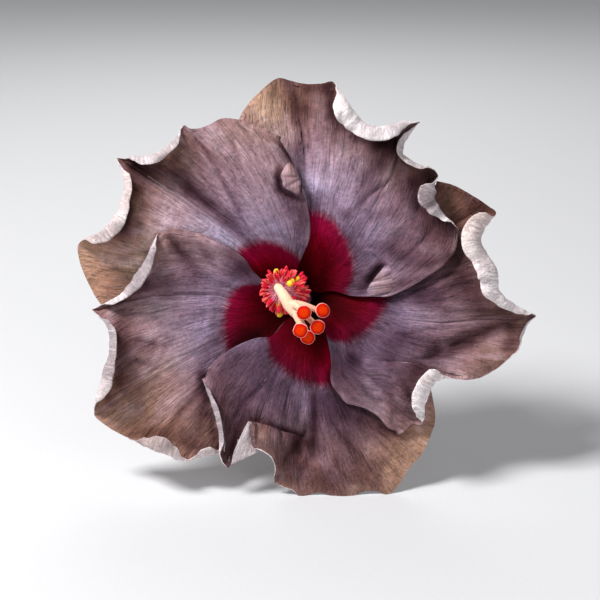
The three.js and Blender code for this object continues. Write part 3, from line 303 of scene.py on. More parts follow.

# Painted shade and painted light on each petal's face: one end, other end, half width and stops.
# Most stand for shadow under rolls and in folds and for how the light falls; some are blotches of its own.
PAINTED_SHADE_AND_LIGHT = {
    "petal_1": [
        (-5.5, 71, -3, 58, 2.2, -1.6), (0, 70, 1, 62, 2.5, -0.8), (0, 62, -1, 50, 2.5, -0.8),
        (-13, 62, -8, 56, 5, 0.6), (1, 69, 9, 69.5, 2.2, -1.4), (8.5, 69, 9.5, 60, 2, -1.3),
        (31.5, 20, 30, 32, 11, -0.85), (43, 20, 38, 40, 8, -0.5), (30, 6, 44, 15, 5, -0.3),
        (12, 56, 10, 62, 5, -0.4), (41, 41, 43, 38.5, 2.4, -1.3), (24.5, 9.5, 22, 6, 1.8, -1.9),
        (14, 58, 24, 51, 2.5, -0.8), (24, 51, 32, 52, 2.5, -0.8), (28, 8, 26, 3, 3, 0.3),
        (20, 10, 17, 2, 3.5, -1.1), (17, 5, 21, 2.5, 3, -0.5), (30, 10, 36, 12, 5, -0.3),
        (33, 50, 34, 46, 2.5, -0.5), (24, 49.5, 30, 50.5, 2.5, -1.2), (27, 52, 29, 50, 2.5, -0.9),
        (28, 40.5, 26.5, 38, 2, 0.7), (25, 44, 28, 47, 3, -1.2), (20, 38, 19, 32, 3, -0.8),
        (12, 41, 12, 33, 3, -0.4), (33, 41, 37, 31, 3, -0.6), (36.5, 38, 37, 31, 2.5, -0.9),
        (26, 24, 33, 24.5, 3, 0.4), (28, 30, 28, 34, 3, 0.35), (39, 23.5, 48, 23, 3, -0.9),
        (32, 19, 46, 20, 2.5, -0.4), (40, 16, 46, 15.5, 2.2, 0.4), (4, 4, 4.5, 26, 3, 1.3),
        (13, 47, 12, 53, 3, 0.4), (4, 44, 4, 38, 4, 0.4), (5, 66, 5, 44, 4, -0.5),
        (-3, 50, 0, 44, 2, -0.5), (19, 16, 29, 16, 3, -0.9), (5, 33, 12, 28, 3, -0.6),
        (12, 28, 17, 20, 3.5, -0.7), (14, 27.5, 18, 28, 2.5, -0.8), (22, 28, 29, 28, 2, -0.5),
        (17, 20, 18, 14, 3, -0.6), (30, 15, 40, 10.5, 3, -0.7), (41, 11, 48, 13, 2.5, -0.8),
        (27, 2.5, 38, 6.5, 1.8, -0.8), (8, 3, 20, 4, 3, -0.7), (1, 34, 5, 27, 2.5, -0.5),
        (-4.5, 71, -2, 64, 2, -0.9), (8, 67, 9, 60, 1.8, -0.7), (11, 58, 17, 52.5, 1.8, -0.5),
        (17, 52.5, 25, 51.5, 1.6, -0.6), (25, 51, 29, 52, 1.6, -1.2), (28, 45, 28, 40, 2, 0.7),
        (22, 41, 26, 47, 1.5, -0.5), (3, 50, 4, 45, 2, -0.3), (8, 50, 8, 46, 2, 0.35),
        (3, 31, 7, 26, 2.5, -0.4), (10, 25, 13, 30, 1.8, 0.6), (20, 27, 25, 31, 1.5, 0.5),
        (18, 24, 22, 26, 1.8, -0.4), (18, 20, 21, 16, 1.8, 0.35), (13, 12, 17, 11, 2, -0.4),
        (3, 3, 6, 0, 1.5, 0.8), (25.5, 10.5, 22.5, 7, 1.5, -0.8), (29, 3.5, 36, 5, 2, -0.5),
        (38, 37.5, 42, 37, 2, -1), (38, 29, 44, 26, 2, -0.9), (44, 26, 49, 24, 1.8, -0.7),
        (47, 16, 48, 11, 1.8, -0.7), (-2.5, 48, -1, 38, 1.2, -0.8),
    ],
    "petal_2": [
        (20, -9, 27, -8, 6.5, -1.3), (22, -14, 30, -14, 4, -1.0), (14, -24, 30, -22, 8, -1.4),
        (9, -20, 10, -29, 3, -0.8), (14, -31, 17, -37, 3, -0.7), (13, -18, 17, -21, 3, -1.0),
        (33, -13, 42, -15, 4, -1.2), (42, -17, 62, -9, 10, -0.4), (33, 20, 60, 28, 14, -1.6),
        (28, 3, 50, 12, 6, -1.0), (28, 0, 38, 0, 3.5, -1.0), (53, 4, 56, -1, 3.5, -0.8),
        (38, -1, 44, -1, 3, -0.8), (44, -15.5, 57, -9.5, 3, -0.6), (41, -19, 48, -18.5, 2.5, -1.0),
        (50, -15.5, 62, -11, 2, -1.0), (54, -21, 66, -17, 4, -0.3), (52, -25, 57, -24.5, 2, 0.5),
        (70, -9, 67, -16, 2.5, -0.8), (34, -25, 33, -37, 2.5, -0.9), (36, -22, 38, -25, 2.5, -1.0),
        (44, 37, 58, 31, 2.5, -0.7), (10, -3, 15, -6, 3, -1.0), (40, 2, 56, 3, 4.5, -1),
        (58, -4, 65, -4.5, 2, -0.8), (43, -3, 47, -4, 2, -0.6), (46, 34, 47, 28, 2, 0.5),
        (55, 29, 59, 28, 2, -0.6), (39, 37, 43, 37, 2, -1), (16, -13, 16, -20, 2.5, -1.3),
        (11, -23, 13, -26, 2, -0.6), (18, -6, 22, -8, 3, 0.4), (22, -3, 27, -2.5, 1.5, 0.5),
        (30, -12, 33, -17, 2.5, 0.5), (39, -20, 46, -16, 1.8, 1.2), (46, -16, 58, -10.5, 1.5, 0.7),
        (50, -16.5, 54, -15.5, 2, -0.5), (38, -23, 41, -24, 1.8, -0.9), (33.5, -25, 33.5, -28, 1.5, 0.6),
        (36, -27, 35, -33, 1.5, -0.6), (14, -26, 13, -31, 1.5, 0.4), (20, -22, 21, -28, 2, 0.35),
        (22, -33, 26, -37, 2, 0.45), (28, -29, 29, -36, 2, -0.8), (27, -18, 29, -22, 2, -0.5),
        (60, -15, 62, -17, 2, 0.3), (67, -10, 68, -14, 2, -0.6), (71, -8, 73, -7, 1.2, 0.5),
        (44, 1, 52, 6, 3, -0.5),
    ],
    "petal_3": [
        (-8, -30, 12, -36, 14, -2.05), (0, -58, 7, -60, 6, -1.5), (8, -56, 10, -54, 3, -0.5),
        (14, -61, 24, -61, 5, -0.6), (19, -58, 24, -54, 4, -0.7), (26, -50, 30, -50, 5, -0.35),
        (16, -63, 16.5, -62, 2.5, 0.6), (12, -34, 16, -32, 5, -1.2), (-20, -30, -24, -48, 9, -0.5),
        (4, -38, 3, -46, 1.6, -0.9), (-15, -43, -13, -45, 3, 0.4), (-2, -16, 6, -20, 6, 0.6),
        (-27, -20, -15, -17, 5, -0.45), (-26, -24, -22, -38, 7, -0.7), (-22, -20, -14, -19, 5, -0.6),
        (-17, -24, -14, -24, 2.5, -0.5), (-29, -26, -28, -36, 3, -0.8), (-23, -42, -24, -53, 3, -0.9),
        (0, -31, 0, -44, 2.5, 1.2), (-3, -48, -4, -53, 4, -1.4), (0, -47, 5, -49, 2.5, -1.2),
        (7.5, -10, 8, -22, 2, 1.3), (6, -24, 6, -29, 1.6, 1.0), (14, -47, 17, -53, 4, -0.8),
        (24, -43.5, 29, -42.5, 3, -1.3), (13, -39, 18, -41, 3, -0.8), (-12, -33, -6, -36, 4, 0.3),
        (-20, -38, -20, -46, 2.5, -0.5), (-30, -31, -29, -36, 1.5, -0.7), (-24.5, -38, -24, -45, 1.8, 0.7),
        (-22, -44, -23, -50, 1.5, -0.8), (-17, -39, -15, -41, 1.5, 0.8), (-14, -43.5, -10, -44, 1.8, -0.5),
        (-8, -41, -3, -44, 1.8, 0.9), (3.5, -34, 3, -52, 2, -0.9), (-1, -46, -1, -50, 2, -0.6),
        (2, -28, 3, -32, 1.5, -0.9), (-1, -26, 0.5, -22, 1.5, 0.5), (8, -17, 8.5, -21, 1.5, 0.9),
        (19, -39, 21, -41, 1.5, -0.6), (22, -51, 28, -53, 3, 0.5), (11, -62, 19, -62, 1.5, 0.5),
        (26, -58, 28, -62, 2, 0.4),
    ],
    "petal_4": [
        (-31, -19, -33.5, -30, 4, -1.2), (-35, -34, -34, -38, 3, -0.6), (-33, -26, -31.5, -38, 1.8, -1.3),
        (-60, -40, -44, -42, 8, -0.5), (-50, -20, -42, -36, 9, -0.35), (-30, -46, -26, -38, 6, -0.9),
        (-45, 15, -33, 16, 3, 0.3), (-41, 15, -36, 9, 3.2, -1.0), (-23, 9, -19, 10, 3.5, -1.5),
        (-55, 4, -49, 6, 3, -1.2), (-42, 4, -27, 4, 4, -1.0), (-53, -4, -44, -3, 3, 0.7),
        (-42, -4, -34, -5, 3, -0.7), (-59, -8, -60, -29, 3, -1.0), (-57, -15.5, -50, -16, 1.8, -0.8),
        (-57, -22, -56, -28, 3, -0.5), (-64, -38, -58, -38, 4, 0.4), (-57, -45, -46, -45.5, 2.2, -0.8),
        (-50, -44, -36, -45, 3, -0.6), (-46, -22, -40, -18, 4, 0.2), (-29, -2, -28, -12, 3, -0.8),
        (-29, -15, -18, -13, 3, -1.0), (-23, 0, -15, -2, 4, 0.8), (-20, -11.5, -12, -11, 2.5, -1.0),
        (-24, 15, -19, 9, 2, -0.8), (-46, 18, -44, 14, 2, 0.4), (-28, 11, -25, 8, 2.5, 0.4),
        (-52, 4, -46, 1.5, 2, -0.4), (-61, -1, -52, 5, 1.8, -0.9), (-51, -26, -42, -20, 2, 0.8),
        (-52, -14, -49, -17, 1.8, 0.4), (-27, -20, -22, -15.5, 1.5, -1),
        (-22, -15.5, -15, -12.5, 1.8, -1.2), (-33.5, -25, -31, -33, 1.8, -1),
        (-34, -38, -34, -42, 2, -0.6), (-38, -48, -34, -49, 2, -1), (-29, -44, -28, -50, 1.8, -1),
        (-61, -8, -61, -28, 1.6, -0.6), (-65, -32, -64, -34, 2, -1),
    ],
    "petal_5": [
        (-40, 39, -20, 19, 2.6, -0.5), (-38, 35, -31, 31, 2, -0.8), (-57, 37, -64, 25, 5.5, -2.5),
        (-56, 43, -44, 41, 2.8, -1.2), (-53, 34, -50, 30, 3, -0.5), (-16, 54, -24, 50, 7, 0.3),
        (-24, 55, -12, 51, 5, 0.5), (-50, 25, -24, 18, 6, 0.6), (-12, 13, -6, 12, 4, 0.8),
        (-8.3, 40, -5.5, 34, 2.2, -0.4), (-5, 33, 0, 31, 3.5, -0.6), (-34, 52, -21, 30, 5, -0.35),
        (-46, 36, -40, 32, 3, 0.4), (-60, 26, -57, 20, 4, -0.4), (-60, 27, -59, 22, 2.2, -1.2),
        (-53, 26, -43, 24, 4, -0.4), (-57, 10, -51, 17, 3.5, 1.2), (-72, 16, -64, 12, 4, 0.25),
        (-68, 9, -64, 8, 3, -0.4), (-4, 29, 0, 25, 4, -1.0), (-1, 29, 1, 26, 2, -0.6),
        (-2, 22, 1, 14, 3, -0.6), (-5, 47, -2, 43, 2, -1.1), (-54, 33, -55, 28, 2, 0.6),
        (-64, 3, -60, 0, 4, -0.6), (-21, 28, -19, 22, 3, -0.2), (-10, 49, -4, 48, 3, -0.5),
        (-45, 43, -40, 38, 2.2, 0.7), (-43, 46, -42, 46, 1.5, -0.9), (-55, 43.5, -48, 43, 2, -0.9),
        (-57.5, 29, -58.5, 24, 1.8, -1), (-24, 25, -18, 18, 2.5, -0.8), (-30, 27, -25, 20, 2.5, 0.3),
        (-19, 16, -15, 11, 1.8, 0.9), (-4.5, 48, -3, 44, 2, -0.8), (-7.5, 42, -8.5, 36, 1.8, -0.9),
        (-10, 43, -10, 38, 1.3, 0.6), (-12, 21, -6, 20, 2.5, 0.4), (-22, 52, -18, 51, 2.5, -0.4),
        (-26, 49, -25, 47, 2, -0.4), (-20, 41, -18, 34, 1.5, 0.5), (-24, 38, -21, 32, 1.8, -0.4),
        (-39, 48, -36, 43, 1.5, 0.6), (-36, 50, -34, 44, 1.5, -0.5), (-54, 33, -55, 28, 1.8, 0.4),
    ],
}

# Painted shade and painted light on each petal's reverse, in the same way
BACK_PAINTED_SHADE_AND_LIGHT = {
    "petal_1": [
        (38, 35, 41, 31, 4, -1.5), (44, 28, 47, 26, 2.5, 0.3), (22, 57, 32, 57, 3, -0.4),
        (12, 62, 16, 59, 3, 0.5), (34, 50, 40, 43, 4, -0.2),
    ],
    "petal_2": [
        (60, 8, 64, 0, 3, 0.2), (58, 12, 60, 9, 2, -0.6), (54, 20, 55, 15, 2, 0.3),
        (40, -34, 38, -40, 4, 0.25), (72, -12, 71, -16, 3, -0.4),
    ],
    "petal_3": [(-28, -44, -32, -30, 4, -1.1)],
    "petal_4": [
        (-64, -24, -64, -6, 4, -1.0), (-36, -52, -28, -51, 4, -0.2), (-56, 4, -50, 14, 4, -1.1),
        (-54, -46, -45, -47, 3, -0.7),
    ],
    "petal_5": [(-58, 46, -42, 52, 3, -0.7), (-61, 29, -60, 42, 3, -0.2), (-68, 20, -61, 23, 2.5, -0.7)],
}

# Where each petal has browned toward tan: [x, z, reach, strength]
TAN_SPOTS = {
    "petal_1": [(-10, 66, 14, 0.9), (10, 64, 8, 0.3), (34, 44, 8, 0.3), (25, 5, 5, 0.4)],
    "petal_2": [(52, 30, 16, 1.0), (62, -16, 14, 0.3), (44, 7, 9, 0.3)],
    "petal_3": [(34, -50, 20, 1.0), (2, -55, 16, 0.5), (-14, -43.5, 3.5, 0.9)],
    "petal_4": [(-52, -42, 20, 1.0), (-30, -42, 12, 0.8), (-34, -27, 7, 0.3)],
    "petal_5": [(-66, 8, 20, 1.0), (-44, 46, 6, 0.5), (-58, 35, 9, 0.8), (-4.5, 42, 4, 0.15)],
}

# Small folds of a blade that lie over it. Each has a left and a right line of [x, z, lift] points from its
# root to its tip, how far it swells between them, which side shows, the gain of painted light and shade of
# its two sides, how far it melts into its petal's own painted shade and light at its right line and root,
# and its cross folds as [share of its length, slant].
FLAPS = {
    "petal_1": {
        "left": [
            (27.4, 11.6, 0.2), (25.4, 9, 1.4), (23.1, 6.2, 2.3), (21.3, 3.6, 2.6), (20.8, 2.2, 2.4),
            (22, 0.7, 1.8),
        ],
        "right": [
            (29, 11.4, -0.3), (30, 9.4, -0.3), (30.8, 7.4, -0.3), (31.4, 5.4, -0.3), (31.8, 4, -0.3),
            (32.2, 3, -0.3),
        ],
        "swell": 0.7, "side": 0, "gain": (0.9, 1), "melt": 1, "folds": [(0.45, 0.3)],
    },
    "petal_3": {
        "left": [(-18.2, -40.4, 4.9), (-20, -44, 4.9), (-23.2, -51, 4.9), (-23.8, -54.6, 4.9)],
        "right": [(-17.7, -40.8, 4.9), (-17.3, -44, 4.9), (-17.2, -48.2, 4.9), (-15.2, -50.6, 4.9)],
        "swell": 0.8, "side": 1, "gain": (1, 0.65), "melt": 0, "folds": [],
    },
    "petal_5": {
        "left": [
            (-5.4, 44.2, -0.2), (-6.9, 41.6, 0.7), (-7.5, 40, 1.0), (-6.9, 38.4, 1.2), (-6.7, 36.7, 1.8),
            (-4.3, 35.1, 2.2), (-2.3, 34.1, 2.0),
        ],
        "right": [
            (-4.6, 44.6, -0.2), (-3.3, 42, 0.5), (-2.5, 40, 0.9), (-1.3, 38.6, 0.9), (-1.3, 36.6, 1.5),
            (-1.6, 35.2, 1.9), (-1.9, 34.1, 2.0),
        ],
        "swell": 0.8, "side": 0, "gain": (1.15, 1), "melt": 0.3, "folds": [(0.42, -0.12), (0.62, 0.1)],
    },
}

# A flap's cross folds and the painted shade along them, its grid, swell, fine waves and map,
# and where it melts into the painted shade and light of its blade
FOLD_WIDTH = 0.05
FOLD_DEPTH = 0.35
FOLD_PAINTED_SHADE = 0.3
FLAP_ROWS = 48
FLAP_COLUMNS = 28
FLAP_BULGE = 0.7
FLAP_SEED = 77
FLAP_WAVES = (0.10, 12, 4)
FLAP_TURN = 80
FLAP_MAP = (0.8, 0.3, 0.1)
MELT_FROM = 0.3
MELT_ROOT = 0.25

# The column as [x, z, forward] points, and the stamens that spray from its upper end
COLUMN_PATH = [(0, 0, -33.8), (-0.6, 0.2, -26), (-2.6, 0.9, -14), (-5.4, 1.9, -3), (-8, 2.9, 8.6)]
COLUMN_RADII = (2.7, 2.3, 1.9, 1.7, 1.5)
COLUMN_STEPS = 400
STAMENS = 150
STAMEN_SEED = 7
STAMEN_ZONE = (0.70, 0.985)
STAMEN_TURN_PLAY = 0.15
STAMEN_PITCH = (-18, 58)
STAMEN_PITCH_PLAY = 7
STAMEN_REACH = 6.1
STAMEN_REACH_PLAY = (0.86, 1.12)
FILAMENT_RADIUS = 0.17
FILAMENT_FOOT = 1.5
FILAMENT_BOW = (0.1, 0.7)

# An anther's half length, width and depth, how they grow on a yellow one, its waist, bend and play of size.
# The yellow ones show at these [x, z] places, a little forward of the others.
ANTHER = (1.35, 0.66, 0.56)
YELLOW_GROWTH = (0.82, 1.6, 1.8)
ANTHER_WAIST = 0.32
ANTHER_BLUNTNESS = 0.8
ANTHER_BEND = 0.18
ANTHER_SEAT = 0.3
ANTHER_SIZE_PLAY = (0.85, 1.12)
CRIMSON = 0.5
YELLOW = 1.0
YELLOW_FORWARD = 0.8
YELLOW_DEPTH_COST = 0.05
YELLOW_ANTHERS = [
    (-8.9, 8.2), (-2.5, 7.4), (-4.1, 5.2), (-5.3, 3.7), (-2.3, 5.9), (-4.7, 4.5), (-8.2, -2.0), (-7.9, -4.9),
]

# The style as [x, z, forward] points. Stamens on the side it leans to pitch back by up to STYLE_CLEARANCE.
# Its arms part at a step of its trunk, bow outward, and end under their pads.
STYLE_LEAN = (0.61, 0, -0.79)
STYLE_CLEARANCE = 42
STYLE_PATH = [(-8.1, 2.95, 9), (-8.2, 3.2, 11), (-6.2, 0.2, 14.2), (-4.2, -3.2, 17.2), (-3, -5.4, 18.8)]
STYLE_RADII = (1.5, 1.55, 1.9, 2.0, 1.1)
ARM_RADII = (1.3, 1.2, 0.95, 0.8)
TRUNK_STEPS = 50
PARTING_STEP = 31
ARM_BOW = (0.25, 0.5, 0.4)
ARM_BOW_SIZE = 0.5
ARM_SEAT = 0.3
ARM_END = 0.1
ARM_MOUTH = 2.2
# The two right-hand arms are peach all along: partly a flush of their own, partly painted shade away from
# the light
FLUSHED_AND_SHADED_ARMS = ("stigma_2", "stigma_3")
ARM_FLUSH_AND_SHADE = (0.35, 1)

# Each pad's middle and the way it faces. The profile gives shares of its radius and its height.
PADS = {
    "stigma_1": ((-0.15, -4.5, 24.5), (0.05, -0.15, 1)),
    "stigma_2": ((5.65, -4, 20.5), (0.3, 0.05, 1)),
    "stigma_3": ((4.1, -9, 22), (0.2, -0.2, 1)),
    "stigma_4": ((-1.1, -10, 23.5), (-0.1, -0.25, 1)),
    "stigma_5": ((1.1, -12.2, 20.3), (0.05, -0.4, 1)),
}
PAD_PROFILE = [
    (0, 0), (0.55, 0.02), (0.82, 0.08), (0.97, 0.24), (1.0, 0.42), (0.985, 0.56), (0.94, 0.68),
    (0.9, 0.71), (0.82, 0.80), (0.6, 0.92), (0.3, 0.99), (0, 1),
]
PAD_RADIUS = 2.4
PAD_HEIGHT = 1.3

# The bumps round a pad: their share of its radius, their waves, and where their noise starts
PAD_BUMPS = (0.05, 3, 9)

# The calyx, as [radius, forward] profiles from its middle out to a lobe's tip
CALYX_OUTSIDE = [
    (0, -43.5), (2.4, -43.2), (4.6, -41), (6.6, -36.5), (7.5, -32), (8.5, -28.6), (10.8, -24.9),
    (14, -21), (17.4, -18.2),
]
CALYX_INSIDE = [
    (0, -34.8), (2.6, -34.8), (5.2, -34.5), (6.2, -32.6), (6.8, -30.2), (7.8, -27.5), (10.2, -24),
    (13.6, -20.2), (17.1, -17.5),
]
CALYX_CUP = 0.66
CALYX_LOBES = 5
CALYX_BEARING = 30

# The calyx's ribs, its lobes' waves and tips, how deep its dark throat reaches, and its hairs
CALYX_STEPS = 200
CALYX_RIB = 0.22
CALYX_RIBS = 3
CALYX_RIB_FADE = (0.1, 0.5)
CALYX_TIP = 1.2
CALYX_SEED = 31
CALYX_WAVES = 6
CALYX_WAVE = 0.5
CALYX_WAVE_FADE = (0.6, 1)
CALYX_THROAT = (0.40, 0.62)
HAIRS = 700
HAIR_SEED = 61
HAIR_ZONE = (14, 125)
HAIR_ROOT = 0.2
HAIR_LEAN = 0.5
HAIR_LENGTHS = (0.7, 1.3)
HAIR_RADIUS = 0.035
HAIR_CORNERS = (0, 2.1, 4.2)

# The bracts' whorl, every other bract standing a little further forward, and its collar's ring
BRACTS = 7
BRACT_PATH = [(3.4, -45.1), (6.6, -43.6), (9.4, -38.6), (10.4, -33.6), (12.4, -28.8)]
BRACT_RADII = (0.9, 1.15, 1.1, 0.8, 0.25)
COLLAR = [(2.5, -46.4), (4.3, -46.4), (4.6, -45.15), (4.3, -43.9), (2.5, -43.9)]
BRACT_TURN = 0.2
BRACT_STAGGER = 1.2
COLLAR_STEPS = 40
COLLAR_SIDES = 80

# The collar's map: what its turn is divided by, and its one place along the veins
COLLAR_MAP = (6.3, 0.2)

# The stalk in the room: from the calyx it bends to the floor and lies on its cut end
STALK_TOP = [(0, 0, -43.8), (0, 0, -49)]
STALK_FLOOR_END = [
    (-4, 55, 40), (-12, 68, 29), (-21, 79, 15), (-28, 87, 4.6), (-31.5, 91.5, 1.7), (-34.5, 95.5, 1.5),
]
STALK_RADII = (2.1, 1.9, 2.2, 1.6, 1.6, 1.6, 1.6, 1.6)
STALK_RIDGES = (7, 0.035)

# Nothing reaches lower than this, in metres
FLOOR_CLEARANCE = 0.00002

# The pale, deep and flushed shade of each green part
GREENS = {
    "calyx_green": ((0.20, 0.27, 0.085), (0.10, 0.165, 0.045), (0.24, 0.17, 0.09)),
    "bract_green": ((0.17, 0.25, 0.07), (0.09, 0.15, 0.04), (0.22, 0.15, 0.08)),
    "stalk_green": ((0.23, 0.27, 0.10), (0.13, 0.17, 0.055), (0.28, 0.17, 0.10)),
}

# No colour is shaded below this share of itself
DARKEST = 0.12

# Each petal's own seed, from its number
FIRST_SEED = 11
SEED_STEP = 10

# Steps of a smooth line between two of its points, and lengths too short to divide by
LINE_STEPS = 24
SHORTEST_GAP = 1e-3
SHORTEST_WAY = 1e-9

# The room. A soft box is [right, up, forward, size] in metres from the middle of the face, and its power.
FLOOR_SIZE = 6
FLOOR_COLOUR = (0.60, 0.60, 0.61)
ROOM_COLOUR = (0.93, 0.95, 1, 1)
ROOM_STRENGTH = 0.20
SOFT_BOXES = [
    (-0.50, 0.66, 0.50, 0.28, 14),
    (0.45, 0.10, 0.75, 0.50, 1.6),
    (0.0, 0.60, -0.40, 0.50, 1.5),
]
CLIP_START = 0.01
TOWARD = Vector((0, -math.cos(TILT), math.sin(TILT)))
UPWARD = Vector((0, math.sin(TILT), math.cos(TILT)))


def smooth(s):
    return s * s * (3 - 2 * s)


def ramp(value, low, high):
    return smooth(np.clip((value - low) / (high - low), 0, 1))


def bell(s):
    return np.exp(-(s**2))


def lattice_noise(seed, x, y):
    """Smooth noise from -1 to 1 at the places x, y."""
    size = 256
    table = np.random.default_rng(seed).uniform(-1, 1, (size, size))
    x, y = np.broadcast_arrays(x, y)
    cell_x, cell_y = np.floor(x).astype(int), np.floor(y).astype(int)
    across, along = smooth(x - cell_x), smooth(y - cell_y)

    def corner(i, j):
        return table[(cell_x + i) % size, (cell_y + j) % size]

    low = corner(0, 0) * (1 - across) + corner(1, 0) * across
    high = corner(0, 1) * (1 - across) + corner(1, 1) * across
    return low * (1 - along) + high * along


def unit(vector):
    vector = np.asarray(vector, float)
    return vector / np.maximum(np.linalg.norm(vector, axis=-1, keepdims=True), SHORTEST_WAY)


def line_through(points, steps):
    """A smooth centripetal line through the points, steps[k] samples to the span k, with its directions."""
    points = np.asarray(points, float)
    ends = np.vstack([2 * points[0] - points[1], points, 2 * points[-1] - points[-2]])
    places, ways = [], []
    for k in range(len(points) - 1):
        before, a, b, after = ends[k : k + 4]
        pairs = ((before, a), (a, b), (b, after))
        gaps = [max(np.linalg.norm(q - p), SHORTEST_GAP) ** 0.5 for p, q in pairs]
        leave = (a - before) / gaps[0] - (b - before) / (gaps[0] + gaps[1]) + (b - a) / gaps[1]
        reach = (b - a) / gaps[1] - (after - a) / (gaps[1] + gaps[2]) + (after - b) / gaps[2]
        leave, reach = leave * gaps[1], reach * gaps[1]
        last = 1 if k == len(points) - 2 else 0
        s = (np.arange(steps[k] + last) / steps[k])[:, None]
        places.append(
            (2 * s**3 - 3 * s**2 + 1) * a + (s**3 - 2 * s**2 + s) * leave
            + (3 * s**2 - 2 * s**3) * b + (s**3 - s**2) * reach
        )
        ways.append(
            (6 * s**2 - 6 * s) * a + (3 * s**2 - 4 * s + 1) * leave
            + (6 * s - 6 * s**2) * b + (3 * s**2 - 2 * s) * reach
        )
    return np.concatenate(places), unit(np.concatenate(ways))


def smooth_line(points, count):
    """Count points, evenly spaced, on the smooth line through a few."""
    line, _ = line_through(points, [LINE_STEPS] * (len(points) - 1))
    return even_points(line, np.linspace(0, 1, count))


def even_points(line, shares):
    """Points of a line at the given shares of its length."""
    run = np.r_[0, np.cumsum(np.linalg.norm(np.diff(line, axis=0), axis=1))]
    return np.stack([np.interp(shares * run[-1], run, line[:, k]) for k in range(line.shape[1])], 1)


# The petals' surface


def turn_from(petal, x, z):
    """Degrees clockwise from the petal's bearing."""
    return (petal["bearing"] - np.degrees(np.arctan2(z, x)) + 540) % 360 - 180


def beside(x, z, x0, z0, x1, z1):
    """How far along a straight line each place lies, as a share of it, and how far from it."""
    along = np.array([x1 - x0, z1 - z0])
    share = np.clip(((x - x0) * along[0] + (z - z0) * along[1]) / (along @ along), 0, 1)
    away = np.hypot(x - x0 - share * along[0], z - z0 - share * along[1])
    return share, away


def fold_height(x, z):
    """How far the long folds lift each place."""
    height = np.zeros_like(x)
    for *line, rise, half in FOLDS:
        share, away = beside(x, z, *line)
        height += rise * bell(away / half) * (1 - share**2)
    return height * np.clip((np.hypot(x, z) - FOLD_START) / FOLD_FADE, 0, 1)


def creased(x, z, petal):
    """How deep a petal is pressed in along its creases, and how much shade is painted there."""
    depth, shade = np.zeros_like(x), np.zeros_like(x)
    for press, half, painted_dark, points in petal["creases"]:
        line = smooth_line(points, CREASE_STEPS)
        away = np.hypot(x[..., None] - line[:, 0], z[..., None] - line[:, 1])
        near = line[away.argmin(-1), 2] * bell(away.min(-1) / half)
        depth = np.maximum(depth, press * near)
        shade = np.maximum(shade, painted_dark * near)
    return depth, shade


def valley(side, edge, strength, edges, half):
    """A dip beside a pleat's lip, so many edges from its line."""
    return strength * bell((side + edges * edge) / half)


def pleated(x, z, petal, column):
    """The height of a petal's pleats, its places once each lip has slid over its valley, and its painted
    shade.
    """
    height, painted_hollow_shade = np.zeros_like(x), np.zeros_like(x)
    moved_x, moved_z = x.copy(), z.copy()
    for x0, z0, x1, z1, rise, edge, reach, overlap in petal.get("pleats", ()):
        length = np.hypot(x1 - x0, z1 - z0)
        along = np.array([x1 - x0, z1 - z0]) / length
        share = ((x - x0) * along[0] + (z - z0) * along[1]) / length
        side = (x - x0) * along[1] - (z - z0) * along[0]
        window = ramp(share, *PLEAT_START) * (1 - ramp(share, *PLEAT_END))
        window = window * (column <= petal["notch_column"])
        lip = ramp(side, -edge, edge)
        past = np.maximum(side, 0)
        height += window * (rise * lip * bell(past / reach) - rise * valley(side, edge, *PLEAT_DIP))
        painted_hollow_shade += window * valley(side, edge, *PLEAT_PAINTED_SHADE)
        slide = overlap * window * lip * bell(past / SLIDE_REACH)
        moved_x -= along[1] * slide
        moved_z += along[0] * slide
    return height, moved_x, moved_z, painted_hollow_shade


def petal_points(x, z, petal, rise, column):
    """Points in the flower's frame: x right, y back, z up across the face."""
    turn = turn_from(petal, x, z)
    funnel = -FUNNEL_DEPTH * np.exp(-np.hypot(x, z) / FUNNEL_SPREAD)
    press, _ = creased(x, z, petal)
    height, x, z, _ = pleated(x, z, petal, column)
    forward = funnel + fold_height(x, z) + PETAL_STEP * turn / PETAL_PITCH + rise + height - press
    narrow = (LEAN - forward) / LEAN
    return np.stack([x * narrow, -forward, z * narrow], -1)


def untangled(start, along):
    """Where the rim bends so sharply that its inner line would turn back, that line is drawn smooth."""
    line = start.copy()
    least = LEAST_STEP * np.linalg.norm(np.diff(start, axis=0), axis=1).mean()
    for _ in range(RIM_ROUNDS):
        ahead = np.sum(np.diff(line, axis=0) * along[:-1], axis=1)
        bad = ahead < least
        if not bad.any():
            break
        near = np.zeros(len(line), bool)
        for shift in range(-2, 4):
            spots = np.flatnonzero(bad) + shift
            near[spots[(spots > 0) & (spots < len(line) - 1)]] = True
        mean = line.copy()
        mean[1:-1] = 0.5 * line[1:-1] + 0.25 * (line[:-2] + line[2:])
        line[near] = mean[near]
    return line


def untwisted(flat):
    """Where cells of a flat grid have turned over, its points are smoothed until they lie right again."""
    grid = flat.copy()
    for _ in range(GRID_ROUNDS):
        across = np.diff(grid, axis=1)[:-1]
        along = np.diff(grid, axis=0)[:, :-1]
        area = across[..., 0] * along[..., 1] - across[..., 1] * along[..., 0]
        bad = area < LEAST_CELL * np.median(area)
        if not bad[:-1].any():
            break
        near = np.zeros(grid.shape[:2], bool)
        rows, columns = np.nonzero(bad)
        for i in (-1, 0, 1, 2):
            for j in (-1, 0, 1, 2):
                row = np.clip(rows + i, 0, len(grid) - 1)
                near[row, np.clip(columns + j, 0, grid.shape[1] - 1)] = True
        near[0] = False
        near[:, [0, -1]] = False
        mean = grid.copy()
        beside_it = grid[1:-1, :-2] + grid[1:-1, 2:]
        before_it = grid[:-2, 1:-1] + grid[2:, 1:-1]
        mean[1:-1, 1:-1] = 0.3 * beside_it + 0.2 * before_it
        mean[-1, 1:-1] = 0.5 * grid[-1, 1:-1] + 0.25 * (grid[-1, :-2] + grid[-1, 2:])
        grid[near] = mean[near]
    return grid


